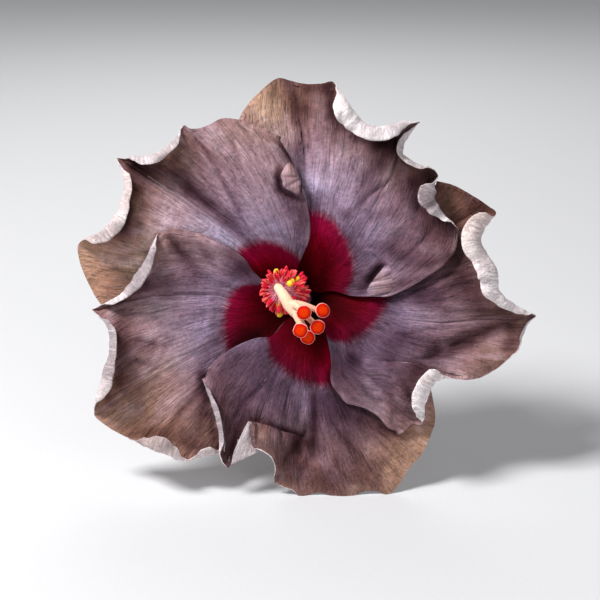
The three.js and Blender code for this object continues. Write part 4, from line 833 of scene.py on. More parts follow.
def petal_rim(petal, seed):
    """The rim's places and their directions, how far each curls, round which radius, and its lift."""
    rim = np.array(petal["rim"], float)
    spans = np.linalg.norm(np.diff(rim[:, :2], axis=0), axis=1)
    steps = np.maximum(1, np.round(spans / spans.sum() * COLUMNS)).astype(int)
    place, along = line_through(rim[:, :2], steps)
    shares = np.concatenate([k + np.arange(n) / n for k, n in enumerate(steps)] + [[len(steps)]])
    first = np.minimum(shares.astype(int), len(steps) - 1)
    part = smooth(shares - first)[:, None]
    curl, radius, lift = (rim[first, 2:] * (1 - part) + rim[first + 1, 2:] * part).T
    u = np.linspace(0, 1, len(place))
    waves = [height * lattice_noise(seed + step, u * across, 0) for step, height, across in ROLL_WAVES]
    bend = np.maximum(np.radians(curl), LEAST_BEND)
    radius = np.maximum(bend * (radius * sum(waves, 1)), RIM_LENGTH) / bend
    return place, along, bend, radius, lift


def petal_face(petal, inner, u, v):
    """The flat grid between a petal's claw, its two side edges and the inner line of its rim."""
    angle = np.radians(petal["bearing"] + CLAW_HALF_ANGLE * (1 - 2 * u))
    claw = CLAW_RADIUS * np.stack([np.cos(angle), np.sin(angle)], 1)
    sides = []
    for points, end in ((petal["hidden"], 0), (petal["open"], -1)):
        whole = [claw[end], *points, inner[end]]
        line, _ = line_through(whole, [SIDE_STEPS] * (len(whole) - 1))
        sides.append(even_points(line, v))
    left, right = sides
    uu, vv = u[None, :, None], v[:, None, None]
    flat = (1 - uu) * left[:, None] + uu * right[:, None]
    flat += (1 - vv) * (claw[None] - (1 - uu) * claw[0] - uu * claw[-1])
    flat += vv * (inner[None] - (1 - uu) * inner[0] - uu * inner[-1])
    return untwisted(flat)


def petal_sheet(petal, seed):
    """The middle surface of a petal as a grid of points, with where each lies across and along it."""
    place, along, bend, radius, lift = petal_rim(petal, seed)
    column = np.arange(len(place))
    if "notch" in petal:
        petal["notch_column"] = int(np.argmin(np.hypot(*(place - petal["notch"]).T)))
    outward = np.stack([-along[:, 1], along[:, 0]], 1)
    start = place - outward * (radius * np.sin(np.minimum(bend, math.pi / 2)))[:, None]
    u = np.linspace(0, 1, len(place))
    share = np.linspace(0, 1, ROWS + 1)
    v = share * (1 - EDGE_SHARE * (1 - share))
    flat = petal_face(petal, untangled(start, along), u, v)
    inner = flat[-1]
    shift = start - inner
    columns = np.broadcast_to(column, flat.shape[:2])
    grid = petal_points(flat[..., 0], flat[..., 1], petal, lift[None] * v[:, None] ** 3, columns)

    # The rim turns through its curl
    row = np.linspace(0, 1, RIM_ROWS + 1)[1:, None]
    turned = bend * row
    reach = radius * np.sin(turned)
    rise = radius * (1 - np.cos(turned))
    edge = inner[None] + shift[None] * row[..., None] + outward[None] * reach[..., None]
    columns = np.broadcast_to(column, edge.shape[:2])
    curled = petal_points(edge[..., 0], edge[..., 1], petal, lift[None] + rise, columns)

    grid = np.concatenate([grid, curled])
    flat = np.concatenate([flat, edge])
    v_all = np.concatenate([np.repeat(v[:, None], len(u), 1), 1 + bend * radius * row / RIM_MAP])
    u_all = np.repeat(u[None], len(v_all), 0)
    return grid, flat, u_all, v_all


def grid_normals(grid):
    return unit(np.cross(np.gradient(grid, axis=1), np.gradient(grid, axis=0)))


def to_room(points):
    """From the flower's frame in millimetres to the room's in metres."""
    x, y, z = np.moveaxis(np.asarray(points, float), -1, 0)
    c, s = math.cos(TILT), math.sin(TILT)
    room = np.stack([x, y * c + z * s, z * c - y * s], -1) + FACE_MIDDLE
    return room / 1000


def face_to_flower(point):
    """From [x, z, forward] to the flower's frame."""
    x, z, forward = point
    return np.array([x, -forward, z], float)


def about_axis(radius, forward, angle):
    """Places in the flower's frame at these distances round its axis."""
    return np.stack(np.broadcast_arrays(radius * np.cos(angle), -forward, radius * np.sin(angle)), -1)


def round_angles(sides):
    return np.linspace(0, 2 * math.pi, sides, endpoint=False)


def map_places(size, first, second):
    """The map places of a grid of this size, from two values that spread over it."""
    return np.stack([np.broadcast_to(value, size).ravel() for value in (first, second)], 1)


class Shape:
    """Points, faces, material numbers and map places gathered for one piece."""

    def __init__(self):
        self.points = []
        self.faces = []
        self.slots = []
        self.maps = {}
        self.count = 0

    def add(self, points, faces, slot, **maps):
        points = np.asarray(points, float).reshape(-1, 3)
        self.points.append(points)
        self.faces += [tuple(int(k) + self.count for k in face) for face in faces]
        self.slots += [slot] * len(faces)
        for name, values in maps.items():
            spread = np.broadcast_to(np.asarray(values, float), (len(points), 2))
            self.maps.setdefault(name, []).append(spread)
        self.count += len(points)

    def piece(self, name, node, materials, room=to_room):
        """The object that takes the node's place."""
        points = room(np.concatenate(self.points))
        points[:, 2] = np.maximum(points[:, 2], FLOOR_CLEARANCE)
        mesh = bpy.data.meshes.new(name)
        mesh.from_pydata(points.tolist(), [], self.faces)
        for material in materials:
            mesh.materials.append(material)
        mesh.polygons.foreach_set("material_index", np.array(self.slots, np.int32))
        mesh.polygons.foreach_set("use_smooth", np.ones(len(mesh.polygons), bool))
        corners = np.empty(len(mesh.loops), np.int32)
        mesh.loops.foreach_get("vertex_index", corners)
        for layer_name, values in self.maps.items():
            layer = mesh.uv_layers.new(name=layer_name)
            layer.data.foreach_set("uv", np.concatenate(values).astype(np.float32)[corners].ravel())
        mesh.update()
        made = bpy.data.objects.new(name, mesh)
        bpy.context.scene.collection.objects.link(made)
        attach(made, "root")
        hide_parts(node)
        return made


def sheet_faces(rows, columns, closed=False):
    """Quads of a grid, its last column joined to its first if it is closed."""
    last = columns if closed else columns - 1
    i, j = np.meshgrid(np.arange(rows - 1), np.arange(last), indexing="ij")
    after = (j + 1) % columns
    above = i + 1
    quads = [i * columns + j, i * columns + after, above * columns + after, above * columns + j]
    return np.stack(quads, -1).reshape(-1, 4)


def add_blade(shape, middle, half, u, v, tone, face, gain, front=0, back=1):
    """A thin closed sheet round a grid: its face, its reverse and its edge."""
    rows, columns = middle.shape[:2]
    normal = grid_normals(middle)
    maps = {"blade": (u, v), "tone": tone, "face": face, "gain": (gain[0] / PAINTED_GAIN_SPAN, gain[1] / PAINTED_GAIN_SPAN)}
    both = {name: np.stack([a.ravel(), b.ravel()], 1) for name, (a, b) in maps.items()}
    count = rows * columns
    ring = np.concatenate([
        np.arange(columns),
        np.arange(1, rows) * columns + columns - 1,
        (rows - 1) * columns + np.arange(columns - 2, -1, -1),
        np.arange(rows - 2, 0, -1) * columns,
    ])
    after = np.roll(ring, -1)
    edges = np.stack([after, ring, ring + count, after + count], 1)
    quads = sheet_faces(rows, columns)
    both_sides = np.concatenate([middle + normal * half, middle - normal * half]).reshape(-1, 3)
    first = shape.count
    shape.add(both_sides, quads, front, **{name: np.concatenate([m, m]) for name, m in both.items()})
    shape.faces += [tuple(int(k) + first for k in face) for face in (quads + count)[:, ::-1]]
    shape.faces += [tuple(int(k) + first for k in face) for face in edges]
    shape.slots += [back] * (len(quads) + len(edges))


def add_tube(shape, path, radii, sides, steps, ridge=(0, 0), tone=(0, 0)):
    """A round limb along a smooth line, its map running round it and along it in millimetres."""
    line = smooth_line(path, steps)
    way = unit(np.gradient(line, axis=0))
    radius = np.interp(np.linspace(0, 1, steps) * (len(radii) - 1), range(len(radii)), radii)
    side = np.zeros_like(way)
    start = unit(np.cross(way[0], (0.31, 0.95, 0.07)))
    for k, tangent in enumerate(way):
        start = unit(start - tangent * (start @ tangent))
        side[k] = start
    other = np.cross(way, side)
    angle = round_angles(sides)
    ridges, swell = ridge
    ring = radius[:, None] * (1 + swell * np.cos(ridges * angle))
    points = (
        line[:, None]
        + side[:, None] * (ring * np.cos(angle))[..., None]
        + other[:, None] * (ring * np.sin(angle))[..., None]
    )
    run = np.r_[0, np.cumsum(np.linalg.norm(np.diff(line, axis=0), axis=1))] / MAP_UNIT
    around = np.minimum(angle, 2 * math.pi - angle) / math.pi
    maps = np.vstack([map_places((steps, sides), around, run[:, None]), (0.5, 0), (0.5, run[-1])])

    # Each end closes on a middle point
    first, last, top = steps * sides, steps * sides + 1, (steps - 1) * sides
    faces = [tuple(face) for face in sheet_faces(steps, sides, closed=True)]
    faces += [(first, (k + 1) % sides, k) for k in range(sides)]
    faces += [(last, top + k, top + (k + 1) % sides) for k in range(sides)]
    shape.add(np.vstack([points.reshape(-1, 3), line[0], line[-1]]), faces, 0, blade=maps, tone=tone)


def turned_to(way):
    """Axes whose third is the given direction."""
    third = unit(way)
    first = unit(np.cross((0.23, 0.11, 0.97), third))
    return np.stack([first, np.cross(third, first), third])


def add_lathe(shape, profile, sides, origin, way, seed):
    """A shape turned round an axis from [radius, height] points; its map holds radius and height."""
    axes = turned_to(way)
    angle = round_angles(sides)
    size = (len(profile), sides)
    radius, height = profile[:, :1], profile[:, 1:]
    bump, waves, start = PAD_BUMPS
    wobble = lattice_noise(seed, np.cos(angle) * waves + start, np.sin(angle) * waves + start)
    around = radius * (1 + bump * wobble)
    local = np.stack([around * np.cos(angle), around * np.sin(angle), np.broadcast_to(height, size)], -1)
    maps = map_places(size, radius / radius.max(), height / np.ptp(height))
    shape.add(local @ axes + origin, sheet_faces(*size, closed=True), 0, blade=maps, tone=(0, 0))


# Material nodes


class Graph:
    """A short way to write a material's nodes."""

    def __init__(self, name):
        self.material = bpy.data.materials.new(name)
        self.material.use_nodes = True
        self.tree = self.material.node_tree
        self.shader = self.tree.nodes["Principled BSDF"]

    def node(self, kind, inputs=(), **settings):
        made = self.tree.nodes.new(kind)
        for key, value in settings.items():
            setattr(made, key, value)
        for key, value in dict(inputs).items():
            self.put(made.inputs[key], value)
        return made

    def put(self, socket, value):
        if isinstance(value, bpy.types.NodeSocket):
            self.tree.links.new(value, socket)
        elif socket.type == "RGBA":
            socket.default_value = (*value, 1)
        else:
            socket.default_value = value

    def math(self, operation, a, b=0.0, clamp=False):
        return self.node("ShaderNodeMath", {0: a, 1: b}, operation=operation, use_clamp=clamp).outputs[0]

    def plus(self, a, b):
        return self.math("ADD", a, b)

    def times(self, a, b):
        return self.math("MULTIPLY", a, b)

    def total(self, *parts):
        """The sum of [value, weight] parts."""
        total = 0.0
        for value, weight in parts:
            total = self.plus(total, self.times(value, weight))
        return total

    def swayed(self, value, *tones):
        """A value moved up and down by each [noise, strength] round its middle."""
        for noise, strength in tones:
            value = self.plus(value, self.times(self.math("SUBTRACT", noise, 0.5), strength))
        return value

    def place(self):
        return self.node("ShaderNodeTexCoord").outputs["Object"]

    def uv(self, name):
        place = self.node("ShaderNodeUVMap", uv_map=name).outputs[0]
        split = self.node("ShaderNodeSeparateXYZ", {0: place})
        return split.outputs[0], split.outputs[1]

    def vector(self, x, y, z=0.0):
        return self.node("ShaderNodeCombineXYZ", {0: x, 1: y, 2: z}).outputs[0]

    def stretched(self, u, v, across, along):
        return self.vector(self.times(u, across), self.times(v, along))

    def noise(self, vector, scale=1.0, detail=3.0, roughness=0.5, distortion=0.0):
        values = {"Vector": vector, "Scale": scale, "Detail": detail, "Roughness": roughness}
        return self.node("ShaderNodeTexNoise", {**values, "Distortion": distortion}).outputs["Fac"]

    def ramp(self, value, stops):
        made = self.node("ShaderNodeValToRGB", {0: value})
        marks = made.color_ramp.elements
        while len(marks) < len(stops):
            marks.new(0.5)
        for mark, (place, colour) in zip(marks, stops):
            mark.position = place
            mark.color = (*colour, 1)
        return made.outputs[0]

    def step(self, value, low, high, least=0.0, most=1.0):
        """Runs smoothly from least to most as the value goes from low to high."""
        values = {"Value": value, "From Min": low, "From Max": high, "To Min": least, "To Max": most}
        return self.node("ShaderNodeMapRange", values, interpolation_type="SMOOTHSTEP").outputs[0]

    def mix(self, factor, a, b, blend="MIX"):
        made = self.node("ShaderNodeMix", {"Factor": factor}, data_type="RGBA", blend_type=blend)
        for key, value in (("A", a), ("B", b)):
            self.put(next(s for s in made.inputs if s.name == key and s.type == "RGBA"), value)
        return next(s for s in made.outputs if s.type == "RGBA")

    def shade(self, colour, *tones):
        """Brightens and darkens a colour by each [noise, strength] round its middle value."""
        swing = self.swayed(1.0, *[(noise, 2 * strength) for noise, strength in tones])
        grey = self.math("MAXIMUM", swing, DARKEST)
        return self.mix(1.0, colour, self.vector(grey, grey, grey), "MULTIPLY")

    def gained(self, colour, gain, green, blue):
        """Painted light and shade: a colour made lighter or darker by a mapped gain, its green and blue by
        more than its red.
        """
        wide = self.times(gain, PAINTED_GAIN_SPAN)
        deep = self.vector(wide, self.math("POWER", wide, green), self.math("POWER", wide, blue))
        return self.mix(1.0, colour, deep, "MULTIPLY")

    def bump(self, height, distance, strength=1.0):
        values = {"Height": height, "Distance": distance, "Strength": strength}
        return self.node("ShaderNodeBump", values).outputs[0]

    def finish(self, colour, normal=None, **sockets):
        self.put(self.shader.inputs["Base Color"], colour)
        if normal is not None:
            self.put(self.shader.inputs["Normal"], normal)
        for key, value in sockets.items():
            self.put(self.shader.inputs[key.replace("_", " ")], value)
        return self.material


def petal_front():
    """Lavender by the crimson eye, mauve outward, brown to tan and in painted shade at the rim, finely
    veined.
    """
    g = Graph("petal_front")
    u, v = g.uv("blade")
    eye, tan = g.uv("tone")
    x, z = g.uv("face")
    gain, _ = g.uv("gain")
    broad = g.noise(g.stretched(u, v, 12, 4), detail=2, distortion=0.6)
    streak = g.noise(g.stretched(u, v, 52, 9), detail=3, roughness=0.6, distortion=0.9)
    fine = g.noise(g.stretched(u, v, 150, 22), detail=3, roughness=0.65, distortion=0.5)
    thread = g.noise(g.stretched(u, v, 330, 40), detail=2, roughness=0.6)
    mottle = g.noise(g.vector(x, z), scale=16, detail=6, roughness=0.65, distortion=0.9)
    grain = g.noise(g.vector(x, z), scale=90, detail=4, roughness=0.7)
    crumple = g.noise(g.vector(x, z), scale=26, detail=5, roughness=0.65)

    body = g.ramp(g.swayed(eye, (mottle, 0.16)), [
        (0.50, (0.235, 0.165, 0.245)),
        (0.53, (0.330, 0.250, 0.365)),
        (0.575, (0.405, 0.312, 0.455)),
        (0.62, (0.400, 0.285, 0.385)),
        (0.72, (0.360, 0.228, 0.275)),
        (0.90, (0.290, 0.165, 0.172)),
    ])
    # Darker and browner toward the rim: partly its own brown, partly painted shade under the rolled rim
    body = g.mix(g.step(v, 0.76, 1.0, 0, 0.55), body, (0.170, 0.083, 0.072))
    body = g.mix(g.times(tan, 0.85), body, (0.465, 0.268, 0.172))
    body = g.mix(g.step(broad, 0.52, 0.68, 0, 0.25), body, (0.62, 0.48, 0.57))
    tones = [(mottle, 0.6), (broad, 0.35), (streak, 0.38), (fine, 0.30), (thread, 0.12), (grain, 0.50)]
    body = g.shade(body, *tones)
    rust = g.times(g.step(crumple, 0.52, 0.66), g.times(tan, 0.35))
    body = g.mix(rust, body, (0.260, 0.115, 0.085))
    dark_fibre = g.noise(g.stretched(u, v, 190, 7), detail=3, roughness=0.6, distortion=0.8)
    body = g.mix(g.step(dark_fibre, 0.57, 0.72, 0, 0.45), body, (0.110, 0.062, 0.080))
    pale_fibre = g.noise(g.stretched(v, u, 5, 130), detail=3, roughness=0.6, distortion=0.8)
    body = g.mix(g.step(pale_fibre, 0.57, 0.72, 0, 0.40), body, (0.60, 0.46, 0.52))

    feather = g.swayed(eye, (fine, 0.050), (streak, 0.035))
    crimson = g.ramp(feather, [
        (0.24, (0.0330, 0.0001, 0.0008)),
        (0.34, (0.0750, 0.0001, 0.0022)),
        (0.42, (0.1550, 0.0001, 0.0080)),
        (0.50, (0.2600, 0.0030, 0.0420)),
    ])
    crimson = g.shade(crimson, (fine, 0.4), (streak, 0.35), (grain, 0.35))
    crimson = g.mix(g.step(thread, 0.66, 0.80, 0, 0.10), crimson, (0.50, 0.06, 0.16))
    colour = g.mix(g.step(feather, 0.482, 0.524), crimson, body)
    # Painted shade and painted light from the face's gain map
    colour = g.gained(colour, gain, green=1.2, blue=1.12)

    fibre = g.step(dark_fibre, 0.5, 0.72)
    height = g.total((streak, 1.0), (fine, 0.5), (grain, 0.3), (mottle, 1.2), (crumple, 0.8), (fibre, -0.5))
    bump = g.bump(height, distance=0.0009, strength=0.75)
    return g.finish(colour, bump, Roughness=0.75, Specular_IOR_Level=0.05)


def petal_back():
    """Silvery pink, wrinkled across the curl with painted shade in its grooves, and a breath of the face's
    colour nearer the claw.
    """
    g = Graph("petal_back")
    u, v = g.uv("blade")
    x, z = g.uv("face")
    _, tan = g.uv("tone")
    _, gain = g.uv("gain")
    wrinkle = g.noise(g.stretched(u, v, 170, 10), detail=4, roughness=0.7, distortion=0.6)
    crepe = g.noise(g.vector(x, z), scale=75, detail=4, roughness=0.7, distortion=1.5)
    mottle = g.noise(g.vector(x, z), scale=14, detail=6, roughness=0.65)
    speck = g.noise(g.vector(x, z), scale=52, detail=2, roughness=0.5)
    body = g.ramp(v, [
        (0.05, (0.20, 0.13, 0.10)),
        (0.30, (0.32, 0.22, 0.25)),
        (0.62, (0.48, 0.38, 0.41)),
        (0.90, (1.0, 0.90, 0.92)),
    ])
    body = g.mix(g.step(mottle, 0.50, 0.74, 0, 0.40), body, (0.72, 0.50, 0.48))
    body = g.mix(g.times(tan, 0.6), body, (0.80, 0.58, 0.50))
    body = g.shade(body, (wrinkle, 0.40), (crepe, 0.45), (mottle, 0.25))
    line = g.math("ABSOLUTE", g.math("SUBTRACT", wrinkle, 0.5))
    # Painted shade in the grooves of the wrinkles
    body = g.mix(g.step(line, 0.024, 0.0, 0, 0.30), body, (0.36, 0.23, 0.23))
    body = g.mix(g.step(speck, 0.66, 0.76, 0, 0.6), body, (0.16, 0.085, 0.06))
    # Painted shade and painted light from the reverse's gain map
    body = g.gained(body, gain, green=1.1, blue=1.05)
    height = g.total((wrinkle, 1.0), (crepe, 0.7), (g.step(line, 0.0, 0.06, 0, 0.3), 1.0))
    bump = g.bump(height, distance=0.0009, strength=0.8)
    return g.finish(body, bump, Roughness=0.6, Specular_IOR_Level=0.25)


def stamen_material():
    """Pink threads, crimson anthers with seams lightened by pollen and a painted highlight, and a few that
    are yellow with pollen.
    """
    g = Graph("stamen_flesh")
    around, along = g.uv("blade")
    kind, chance = g.uv("tone")
    grain = g.noise(g.place(), scale=2600, detail=3, roughness=0.7)
    pinks = [(0.0, (0.95, 0.62, 0.70)), (0.035, (0.86, 0.36, 0.46)), (0.06, (0.72, 0.09, 0.19))]
    thread = g.ramp(along, pinks)
    seam = g.step(around, 0.30, 0.05)
    tint = g.mix(chance, (0.58, 0.003, 0.030), (0.88, 0.014, 0.048))
    # The seam is lighter: partly pollen, partly a painted highlight along the anther's edge
    anther = g.mix(g.times(seam, 0.45), tint, (0.96, 0.40, 0.27))
    anther = g.shade(anther, (grain, 0.6))
    yellow = g.shade(g.mix(grain, (0.95, 0.44, 0.012), (1.0, 0.74, 0.08)), (grain, 0.4))
    colour = g.mix(g.step(kind, 0.25, 0.35), thread, anther)
    colour = g.mix(g.step(kind, 0.65, 0.75), colour, yellow)
    bump = g.bump(grain, distance=0.00012, strength=0.8)
    return g.finish(colour, bump, Roughness=0.6, Specular_IOR_Level=0.10)


def style_material():
    """Cream with fine lengthwise lines, flushed peach toward the arms, on the right-hand arms partly painted
    shade.
    """
    g = Graph("style_flesh")
    around, along = g.uv("blade")
    flush, _ = g.uv("tone")
    lines = g.noise(g.stretched(around, along, 22, 60), detail=4, roughness=0.6)
    grain = g.noise(g.place(), scale=1400, detail=3)
    # Pink toward the arms, most on the right-hand ones, where part of it is painted shade
    pink = g.math("ADD", g.step(along, 0.02, 0.12, 0, 0.50), g.times(flush, 0.5), clamp=True)
    body = g.mix(pink, (0.80, 0.62, 0.43), (0.80, 0.36, 0.24))
    body = g.shade(body, (lines, 0.25), (grain, 0.15))
    bump = g.bump(g.plus(lines, grain), distance=0.00015, strength=0.6)
    return g.finish(
        body, bump,
        Roughness=0.5, Specular_IOR_Level=0.2, Subsurface_Weight=0.15, Subsurface_Scale=0.001,
    )


def pad_material():
    """Velvety orange-red with a thin pale pink rim."""
    g = Graph("pad_velvet")
    radius, height = g.uv("blade")
    place = g.place()
    pile = g.noise(place, scale=3200, detail=3, roughness=0.7)
    cloud = g.noise(place, scale=420, detail=2)
    velvet = g.mix(cloud, (0.74, 0.022, 0.001), (0.88, 0.060, 0.002))
    velvet = g.mix(g.step(radius, 0.35, 0.85), velvet, (0.60, 0.007, 0.002))
    velvet = g.shade(velvet, (pile, 0.5))
    rim = g.step(radius, 0.91, 0.95)
    under = g.step(height, 0.42, 0.30)
    colour = g.mix(g.math("MAXIMUM", rim, under), velvet, (0.90, 0.43, 0.38))
    bump = g.bump(pile, distance=0.00020, strength=0.9)
    return g.finish(colour, bump, Roughness=0.8, Specular_IOR_Level=0.03)


def green_material(name):
    """Leafy green with lengthwise veins, mottled and lightly flushed."""
    g = Graph(name)
    pale, deep, flush = GREENS[name]
    around, along = g.uv("blade")
    inside, _ = g.uv("tone")
    place = g.place()
    veins = g.noise(g.stretched(around, along, 30, 12), detail=4, roughness=0.6, distortion=0.3)
    mottle = g.noise(place, scale=180, detail=5, roughness=0.6)
    grain = g.noise(place, scale=1500, detail=3, roughness=0.7)
    body = g.mix(mottle, pale, deep)
    body = g.shade(body, (veins, 0.45), (grain, 0.35))
    body = g.mix(g.step(mottle, 0.55, 0.75, 0, 0.5), body, flush)
    body = g.mix(inside, body, (0.030, 0.004, 0.006))
    bump = g.bump(g.total((veins, 1.0), (grain, 0.5)), distance=0.00045, strength=0.8)
    return g.finish(
        body, bump,
        Roughness=0.55, Specular_IOR_Level=0.35, Sheen_Weight=0.2, Sheen_Roughness=0.5,
    )


def floor_material():
    g = Graph("floor")
    grain = g.noise(g.place(), scale=900, detail=2)
    return g.finish(g.shade(FLOOR_COLOUR, (grain, 0.03)), Roughness=0.85)


# The pieces


def painted_gain_at(x, z, tones):
    """How much the painted shade and light make a petal lighter or darker at its places."""
    stops = np.zeros_like(x)
    for *line, half, depth in tones:
        _, away = beside(x, z, *line)
        stops += depth * bell(away / half)
    return 2**stops


def tan_at(x, z, spots):
    """How far a petal has browned toward tan at its places."""
    tan = np.zeros_like(x)
    for spot_x, spot_z, reach, strength in spots:
        tan = np.maximum(tan, strength * bell(np.hypot(x - spot_x, z - spot_z) / reach))
    return tan


def eye_at(x, z, petal):
    """0.5 on the crimson's edge, and a hundredth more for each millimetre outward."""
    turn = turn_from(petal, x, z)
    return 0.5 + (np.hypot(x, z) - np.interp(turn, EYE_TURNS, petal["eye"])) / MAP_UNIT


def ripple(kind, u, v, seed):
    """One kind of a blade's waves, fading in on its way outward."""
    step, height, across, slant, along, low, high = RIPPLES[kind]
    return height * lattice_noise(seed + step, u * across + slant * v, v * along) * ramp(v, low, high)


def rippled(grid, x, z, u, v, seed):
    """The blade's middle surface with its swells, ribs, puckers and crinkled rim."""
    wide = WIDE_HEIGHT * lattice_noise(seed, u * WIDE_WAVES[0] + WIDE_START, v * WIDE_WAVES[1])
    pucker = lattice_noise(seed + 4, x / PUCKER_SIZE + PUCKER_START, z / PUCKER_SIZE + PUCKER_START)
    pucker = PUCKER_HEIGHT * pucker * ramp(v, *PUCKER_FADE)
    calm = SIDE_CALM + (1 - SIDE_CALM) * np.minimum(ramp(u, 0, SIDE_BAND), 1 - ramp(u, 1 - SIDE_BAND, 1))
    broad = wide * v**WIDE_FADE + ripple("swell", u, v, seed) + ripple("rib", u, v, seed)
    return grid + grid_normals(grid) * (broad * calm + ripple("crinkle", u, v, seed) + pucker)[..., None]


def make_petal(name, petal, seed, materials):
    """One closed blade, with the small fold that some petals have over it."""
    grid, flat, u, v = petal_sheet(petal, seed)
    x, z = flat[..., 0], flat[..., 1]
    middle = rippled(grid, x, z, u, v, seed)
    half = BLADE / 2 * (1 - RIM_THINNING * ramp(v, *RIM_THINS))[..., None]
    column = np.broadcast_to(np.arange(u.shape[1]), u.shape)
    # The face's gain is painted shade and painted light, and deeper still in the painted shade of pleats and
    # creases
    painted_hollow_shade = np.maximum(pleated(x, z, petal, column)[3], creased(x, z, petal)[1])
    painted_face_gain = painted_gain_at(x, z, PAINTED_SHADE_AND_LIGHT[name]) * (1 - np.clip(painted_hollow_shade, 0, DEEPEST_PAINTED_SHADE))
    painted_gains = (painted_face_gain, painted_gain_at(x, z, BACK_PAINTED_SHADE_AND_LIGHT[name]))

    # Each petal has a part of the map of its own
    apart = seed / 100
    tone = (eye_at(x, z, petal), tan_at(x, z, TAN_SPOTS[name]))
    face = (x / MAP_UNIT + apart, z / MAP_UNIT)
    shape = Shape()
    add_blade(shape, middle, half, u + apart, v, tone, face, painted_gains)
    if name in FLAPS:
        add_flap(shape, petal, FLAPS[name], PAINTED_SHADE_AND_LIGHT[name], TAN_SPOTS[name], apart)
    shape.piece(name + "_blade", name, materials)


def add_flap(shape, petal, flap, tones, spots, apart):
    """A small fold that lies over its petal between two lines."""
    s, t = np.meshgrid(np.linspace(0, 1, FLAP_ROWS), np.linspace(1, 0, FLAP_COLUMNS), indexing="ij")
    left, right = (smooth_line(flap[side], FLAP_ROWS)[:, None] for side in ("left", "right"))
    x, z, rise = np.moveaxis(left * (1 - t[..., None]) + right * t[..., None], -1, 0)
    rise = rise + flap["swell"] * np.sin(math.pi * t) * np.sin(math.pi * s**FLAP_BULGE)
    height, along, across = FLAP_WAVES
    rise += height * lattice_noise(FLAP_SEED, s * along, t * across)
    fold = np.zeros_like(s)
    for at, slant in flap["folds"]:
        fold = np.maximum(fold, bell((s + slant * (t - 0.5) - at) / FOLD_WIDTH))
    past_notch = np.full(s.shape, np.inf)
    middle = petal_points(x, z, petal, rise - FOLD_DEPTH * fold, past_notch)

    melt = flap["melt"] * np.maximum(ramp(t, MELT_FROM, 1), 1 - ramp(s, 0, MELT_ROOT))
    own = painted_gain_at(x, z, tones)
    # A flap's gains are painted light and shade, with painted shade along its cross folds
    painted_gains = [gain ** (1 - melt) * own**melt * (1 - FOLD_PAINTED_SHADE * fold) for gain in flap["gain"]]
    side = flap["side"]
    u = 0.5 + turn_from(petal, x, z) / FLAP_TURN + apart
    v = FLAP_MAP[0] + FLAP_MAP[1] * side + FLAP_MAP[2] * s
    tone = (eye_at(x, z, petal), tan_at(x, z, spots))
    face = (x / MAP_UNIT + apart, z / MAP_UNIT)
    add_blade(shape, middle, BLADE / 2, u, v, tone, face, painted_gains, side, 1 - side)


def make_stamens(material):
    """The column, and its stamens that spray out round its upper end."""
    draw = np.random.default_rng(STAMEN_SEED).uniform
    shape = Shape()
    path = [face_to_flower(point) for point in COLUMN_PATH]
    add_tube(shape, path, COLUMN_RADII, sides=28, steps=60)
    line = smooth_line(path, COLUMN_STEPS)
    ways = unit(np.gradient(line, axis=0))
    golden = math.pi * (3 - math.sqrt(5))
    lean = face_to_flower((STYLE_LEAN[0], STYLE_LEAN[2], 0))
    stamens = []
    for k in range(STAMENS):
        share = (k + 0.5) / STAMENS
        height = STAMEN_ZONE[0] + (STAMEN_ZONE[1] - STAMEN_ZONE[0]) * share
        at = int(round(height * (COLUMN_STEPS - 1)))
        root, axis = line[at], ways[at]
        side = unit(np.cross((1, 0, 0), axis))
        angle = golden * k + draw(-STAMEN_TURN_PLAY, STAMEN_TURN_PLAY)
        side = side * math.cos(angle) + np.cross(axis, side) * math.sin(angle)
        below = max(0, side @ lean)
        pitch = STAMEN_PITCH[0] + (STAMEN_PITCH[1] - STAMEN_PITCH[0]) * share
        pitch += draw(-STAMEN_PITCH_PLAY, STAMEN_PITCH_PLAY)
        pitch = math.radians(pitch - STYLE_CLEARANCE * below)
        way = side * math.cos(pitch) + axis * math.sin(pitch)
        stamens.append((root, axis, way, root + way * STAMEN_REACH * draw(*STAMEN_REACH_PLAY)))

    # The anther nearest to each yellow place moves there, a front one rather than one behind
    tips = np.array([tip for _, _, _, tip in stamens])
    yellow = {}
    for x, z in YELLOW_ANTHERS:
        cost = np.hypot(tips[:, 0] - x, tips[:, 2] - z) + YELLOW_DEPTH_COST * tips[:, 1]
        nearest = int(np.argmin(cost))
        yellow[nearest] = np.array([x, tips[nearest, 1] - YELLOW_FORWARD, z])
    for k, (root, axis, way, tip) in enumerate(stamens):
        tip = yellow.get(k, tip)
        bend = (root + tip) / 2 + axis * draw(*FILAMENT_BOW)
        radii = (FILAMENT_RADIUS * FILAMENT_FOOT, FILAMENT_RADIUS)
        add_tube(shape, [root, bend, tip], radii, sides=6, steps=8)
        roll, size = draw(0, math.pi), draw(*ANTHER_SIZE_PLAY)
        add_anther(shape, tip, way, roll, size, YELLOW if k in yellow else CRIMSON, draw(0, 1))
    shape.piece("stamen_spray", "staminal_column", [material])


def add_anther(shape, tip, way, roll, size, kind, chance):
    """A plump two-lobed bean that lies along its thread."""
    rings, sides = ((11, 12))
    polar = np.linspace(0, math.pi, rings)[:, None]
    angle = round_angles(sides)[None]
    growth = YELLOW_GROWTH if kind == YELLOW else (1, 1, 1)
    length, width, depth = (value * size * more for value, more in zip(ANTHER, growth))
    seam = np.abs(np.cos(angle))
    stout = np.sin(polar) ** ANTHER_BLUNTNESS
    across = width * stout * np.cos(angle) * (1 - ANTHER_WAIST * seam**6)
    along = length * np.cos(polar) * np.ones_like(angle)
    deep = depth * stout * np.sin(angle) - ANTHER_BEND * length * (along / length) ** 2
    c, s = math.cos(roll), math.sin(roll)
    local = np.stack([across * c - deep * s, across * s + deep * c, along], -1)
    points = local @ turned_to(way) + tip + way * ANTHER_SEAT * length
    maps = map_places((rings, sides), 1 - seam, 0.5 + 0.5 * np.cos(polar))
    faces = sheet_faces(rings, sides, closed=True)[:, ::-1]
    shape.add(points, faces, 0, blade=maps, tone=(kind, chance))


